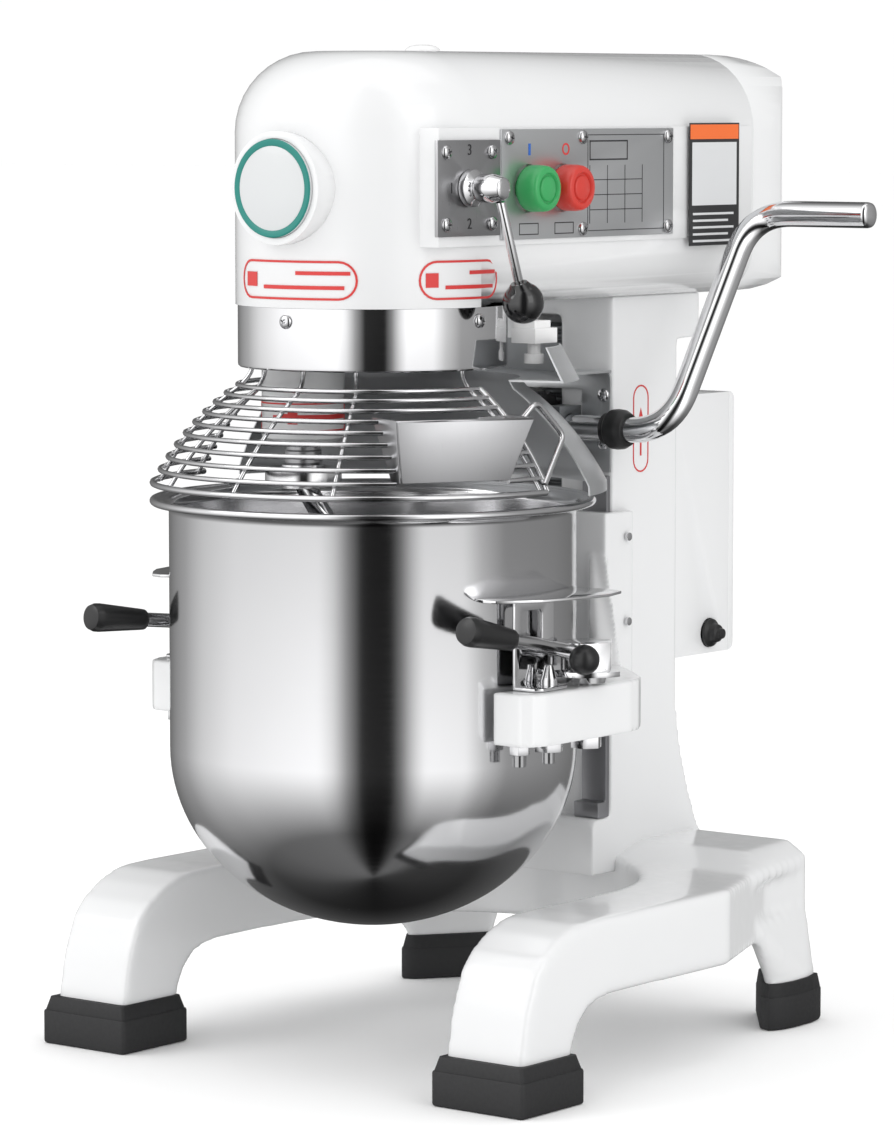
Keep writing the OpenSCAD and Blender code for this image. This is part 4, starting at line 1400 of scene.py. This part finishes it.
@dataclass
class Clamp:
    """One bowl clamp: a turning block with a lever, a tapered grip and a ball."""

    side: Side
    turn: float
    rise: float
    top: float = 235.0
    at: Pair = (138.0, 29.0)

    def frame_of(self) -> Matrix:
        """The clamp's own frame, with its axis upright through the block."""
        flip = Matrix.Scale(-1, 4, (1, 0, 0)) if self.side is Side.LEFT else Matrix.Identity(4)
        return flip @ Matrix.Translation(Vector((*self.at,
                                                 0)) * MM) @ Matrix.Rotation(math.radians(self.turn), 4, "Z")

    def place(self, piece: Piece) -> None:
        """Moves a piece from the clamp's frame to the machine's.

        Args:
            piece: a shape made in the clamp's frame.
        """
        piece.data.transform(self.frame_of())
        if self.side is Side.LEFT:
            piece.data.flip_normals()

    def build(self) -> None:
        """Makes the block, the lever and the grips."""
        word = self.side.name.lower()
        body = Body.CLAMP_RIGHT if self.side is Side.RIGHT else Body.CLAMP_LEFT
        dressed_node("clamp_block_" + word, MIRROR_STEEL, body, "polished_steel", 0.6)
        lift = math.radians(self.rise)
        along = Vector((0, -math.cos(lift), math.sin(lift)))
        start = Vector((0, 0, self.top + 17))
        rod = turned("clamp_rod_" + word, [(0, 13), (4.0, 13), (4.4, 13.6), (4.4, 71), (0, 71)], tuple(start),
                     tuple(along), 32)
        turn_ball = math.radians(38)
        reach = Vector((math.sin(turn_ball), -math.cos(turn_ball), 0))
        rod = joined("clamp_rod_" + word, [rod, plug(3.0, 0, 5, tuple(start + reach * 14.5), tuple(reach),
                                                     24)])
        self.place(rod)
        finish_piece(rod, WIRE_STEEL, body, "steel", "clamp_lever_" + word, shade=35)
        profile = [(0, 68), (5.4, 68), (6.3, 69), (6.6, 72), (8.8, 103), (8.7, 106), (7.6, 109), (5.2, 110),
                   (0, 110)]
        grip = turned("clamp_grip_skin_" + word, profile, tuple(start), tuple(along), 48)
        ball_profile = [(0, -9)] + [(9 * math.cos(math.radians(a)), 9 * math.sin(math.radians(a)))
                                    for a in range(-78, 79, 12)] + [(0, 9)]
        ball = turned("ball", ball_profile, tuple(start + reach * 27), tuple(reach), 40)
        grip = joined("clamp_grip_skin_" + word, [grip, ball])
        self.place(grip)
        finish_piece(grip, GRIP_BLACK, body, "black_plastic", "clamp_grip_" + word, shade=40)


@dataclass
class Crank:
    """The bent lift handle, its rubber ring and the pinion behind it."""

    y: float = 158.0
    z: float = 375.0
    arm: float = 158.0
    lean: float = 33.4
    bend: float = 30.0

    def build(self) -> None:
        """Makes the bar and dresses the ring and pinion."""
        up = Vector((0, math.sin(math.radians(self.lean)), math.cos(math.radians(self.lean))))
        axis = Vector((0, self.y, self.z))
        row = [axis + Vector((-32, 0, 0)), axis + Vector((106, 0, 0)),
               axis + Vector((106, 0, 0)) + up * self.arm,
               axis + Vector((192, 0, 0)) + up * self.arm]
        bar = wire("crank_skin", rounded([tuple(p) for p in row], self.bend, 12), 8.0, sides=8)
        tip = turned("tip", [(0, 0), (8.0, 0), (7.6, 1.6), (5.6, 2.8), (0, 3.2)],
                     tuple(row[-1] - Vector((0.2, 0, 0))),
                     (1, 0, 0), 40)
        bar = joined("crank_skin", [bar, tip])
        finish_piece(bar, MIRROR_STEEL, Body.CRANK, "polished_steel", "crank_bar", shade=50)
        dressed_node("crank_fittings", SOFT_BLACK, Body.CRANK, "black_rubber", 0.3)


# ---- the room ----


@dataclass
class Studio:
    """Floor, lights, a banded surround and camera."""

    turn: float = 38.087
    dip: float = 5.627
    at: Point = (1806.485, -2232.988, 577.085)
    lens: float = 150.785
    glow: float = 1.01
    bands: Tuple[Pair, ...] = ((-180, 0.1), (-160, 0.22), (-132, 0.5), (-112, 0.9), (-85, 1.25), (-30, 1.55),
                               (-22, 1.2), (-14, 0.45), (-6, 0.03), (11, 0.02), (17, 0.3), (24, 1.0),
                               (30, 1.45),
                               (54, 1.35), (66, 0.8), (82, 0.42), (125, 0.32), (180, 0.1))

    def camera(self) -> None:
        """Sets the camera at the chosen viewing angle."""
        bpy.ops.object.camera_add(location=Vector(self.at) * MM,
                                  rotation=(math.radians(90 - self.dip), 0, math.radians(self.turn)))
        eye = bpy.context.object
        eye.name = "studio_camera"
        eye.data.sensor_width = 36
        eye.data.sensor_fit = "AUTO"
        eye.data.lens = self.lens
        eye.data.clip_end = 100
        bpy.context.scene.camera = eye

    def floor(self) -> None:
        """A wide pale floor."""
        clear_selection()
        bpy.ops.mesh.primitive_plane_add(size=60, location=(0, 0, -0.0002))
        ground = bpy.context.object
        ground.name = "studio_floor"
        ground.data.materials.append(FLOOR_PAINT.material())
        ground.visible_glossy = False

    def light(self, name: str, at: Point, size: Pair, power: float) -> None:
        """A soft area light that looks at the middle of the machine.

        Args:
            name: the light's name.
            at: where it stands, in metres.
            size: its width and height in metres.
            power: its power in watts.
        """
        bpy.ops.object.light_add(type="AREA", location=at)
        lamp = bpy.context.object
        lamp.name = name
        lamp.data.shape = "RECTANGLE"
        lamp.data.size, lamp.data.size_y = size
        lamp.data.energy = power
        lamp.rotation_euler = (Vector((0, 0.05, 0.33)) - Vector(at)).to_track_quat("-Z", "Y").to_euler()

    def surround(self) -> None:
        """A bright surround with darker upright bands, which the steel reflects."""
        world = bpy.data.worlds.new("studio_surround")
        bpy.context.scene.world = world
        world.use_nodes = True
        tree = world.node_tree
        tree.nodes.clear()
        out = add_node(tree, "OutputWorld")
        back = add_node(tree, "Background")
        place = add_node(tree, "TexCoord")
        turn = add_node(tree, "Mapping", Rotation=(0, 0, -math.radians(self.turn)))
        split = add_node(tree, "SeparateXYZ")
        flip = add_node(tree, "Math")
        flip.operation = "MULTIPLY"
        flip.inputs[1].default_value = -1.0
        angle = add_node(tree, "Math")
        angle.operation = "ARCTAN2"
        span = add_node(tree, "MapRange", From_Min=-math.pi, From_Max=math.pi)
        ramp = add_node(tree, "ValToRGB")
        for spot, _ in self.bands[1:-1]:
            ramp.color_ramp.elements.new((spot + 180) / 360)
        for element, (_, level) in zip(ramp.color_ramp.elements, self.bands):
            element.color = (level, level, level, 1)
        ray = add_node(tree, "LightPath")
        mix = add_mix(tree, (self.glow,) * 3)
        sink = add_node(tree, "MapRange", From_Min=-0.8, From_Max=-0.1, To_Min=0.12)
        shade = add_mix(tree, mode="MULTIPLY")
        shade.inputs[0].default_value = 1.0
        link(tree, (place, "Generated", turn, "Vector"), (turn, "Vector", split, "Vector"),
             (split, "Y", flip, 0), (split, "X", angle, 0), (flip, "Value", angle, 1),
             (angle, "Value", span, "Value"), (span, "Result", ramp, "Fac"),
             (ray, "Is Glossy Ray", mix, "Factor"), (split, "Z", sink, "Value"), (ramp, "Color", shade, 6),
             (sink, "Result", shade, 7), (shade, 2, mix, 7), (mix, 2, back, "Color"),
             (back, "Background", out, "Surface"))

    def build(self) -> None:
        """Sets up the room."""
        bpy.context.scene.view_settings.view_transform = "Standard"
        self.surround()
        self.floor()
        self.light("key", (-1.6, -1.9, 2.1), (1.6, 1.6), 15)
        self.light("fill", (2.4, -0.4, 1.3), (1.2, 1.6), 5)
        self.light("top", (0.0, 0.2, 2.6), (2.0, 2.0), 7)
        self.camera()


def main() -> None:
    """Builds the machine, piece by piece, and then the room."""
    logging.basicConfig(level=logging.INFO, format="%(name)s: %(message)s")
    parts = (BaseStand(), Column(), Head(), Badge(),
             Sticker("front_notice", 2.0, 31.0, 461.0, 484.0),
             Sticker("side_notice", 80.0, 22.0, 461.0, 484.0),
             Screws(), Controls(), Guard(), MixingHead(), BowlUnit(), Carrier(),
             Clamp(Side.RIGHT, -4.0, 12.0), Clamp(Side.LEFT, 11.0, 6.0), Crank(), Studio())
    for part in parts:
        part.build()
        LOG.info("built %s", getattr(part, "name", type(part).__name__))


if __name__ == "__main__":
    main()
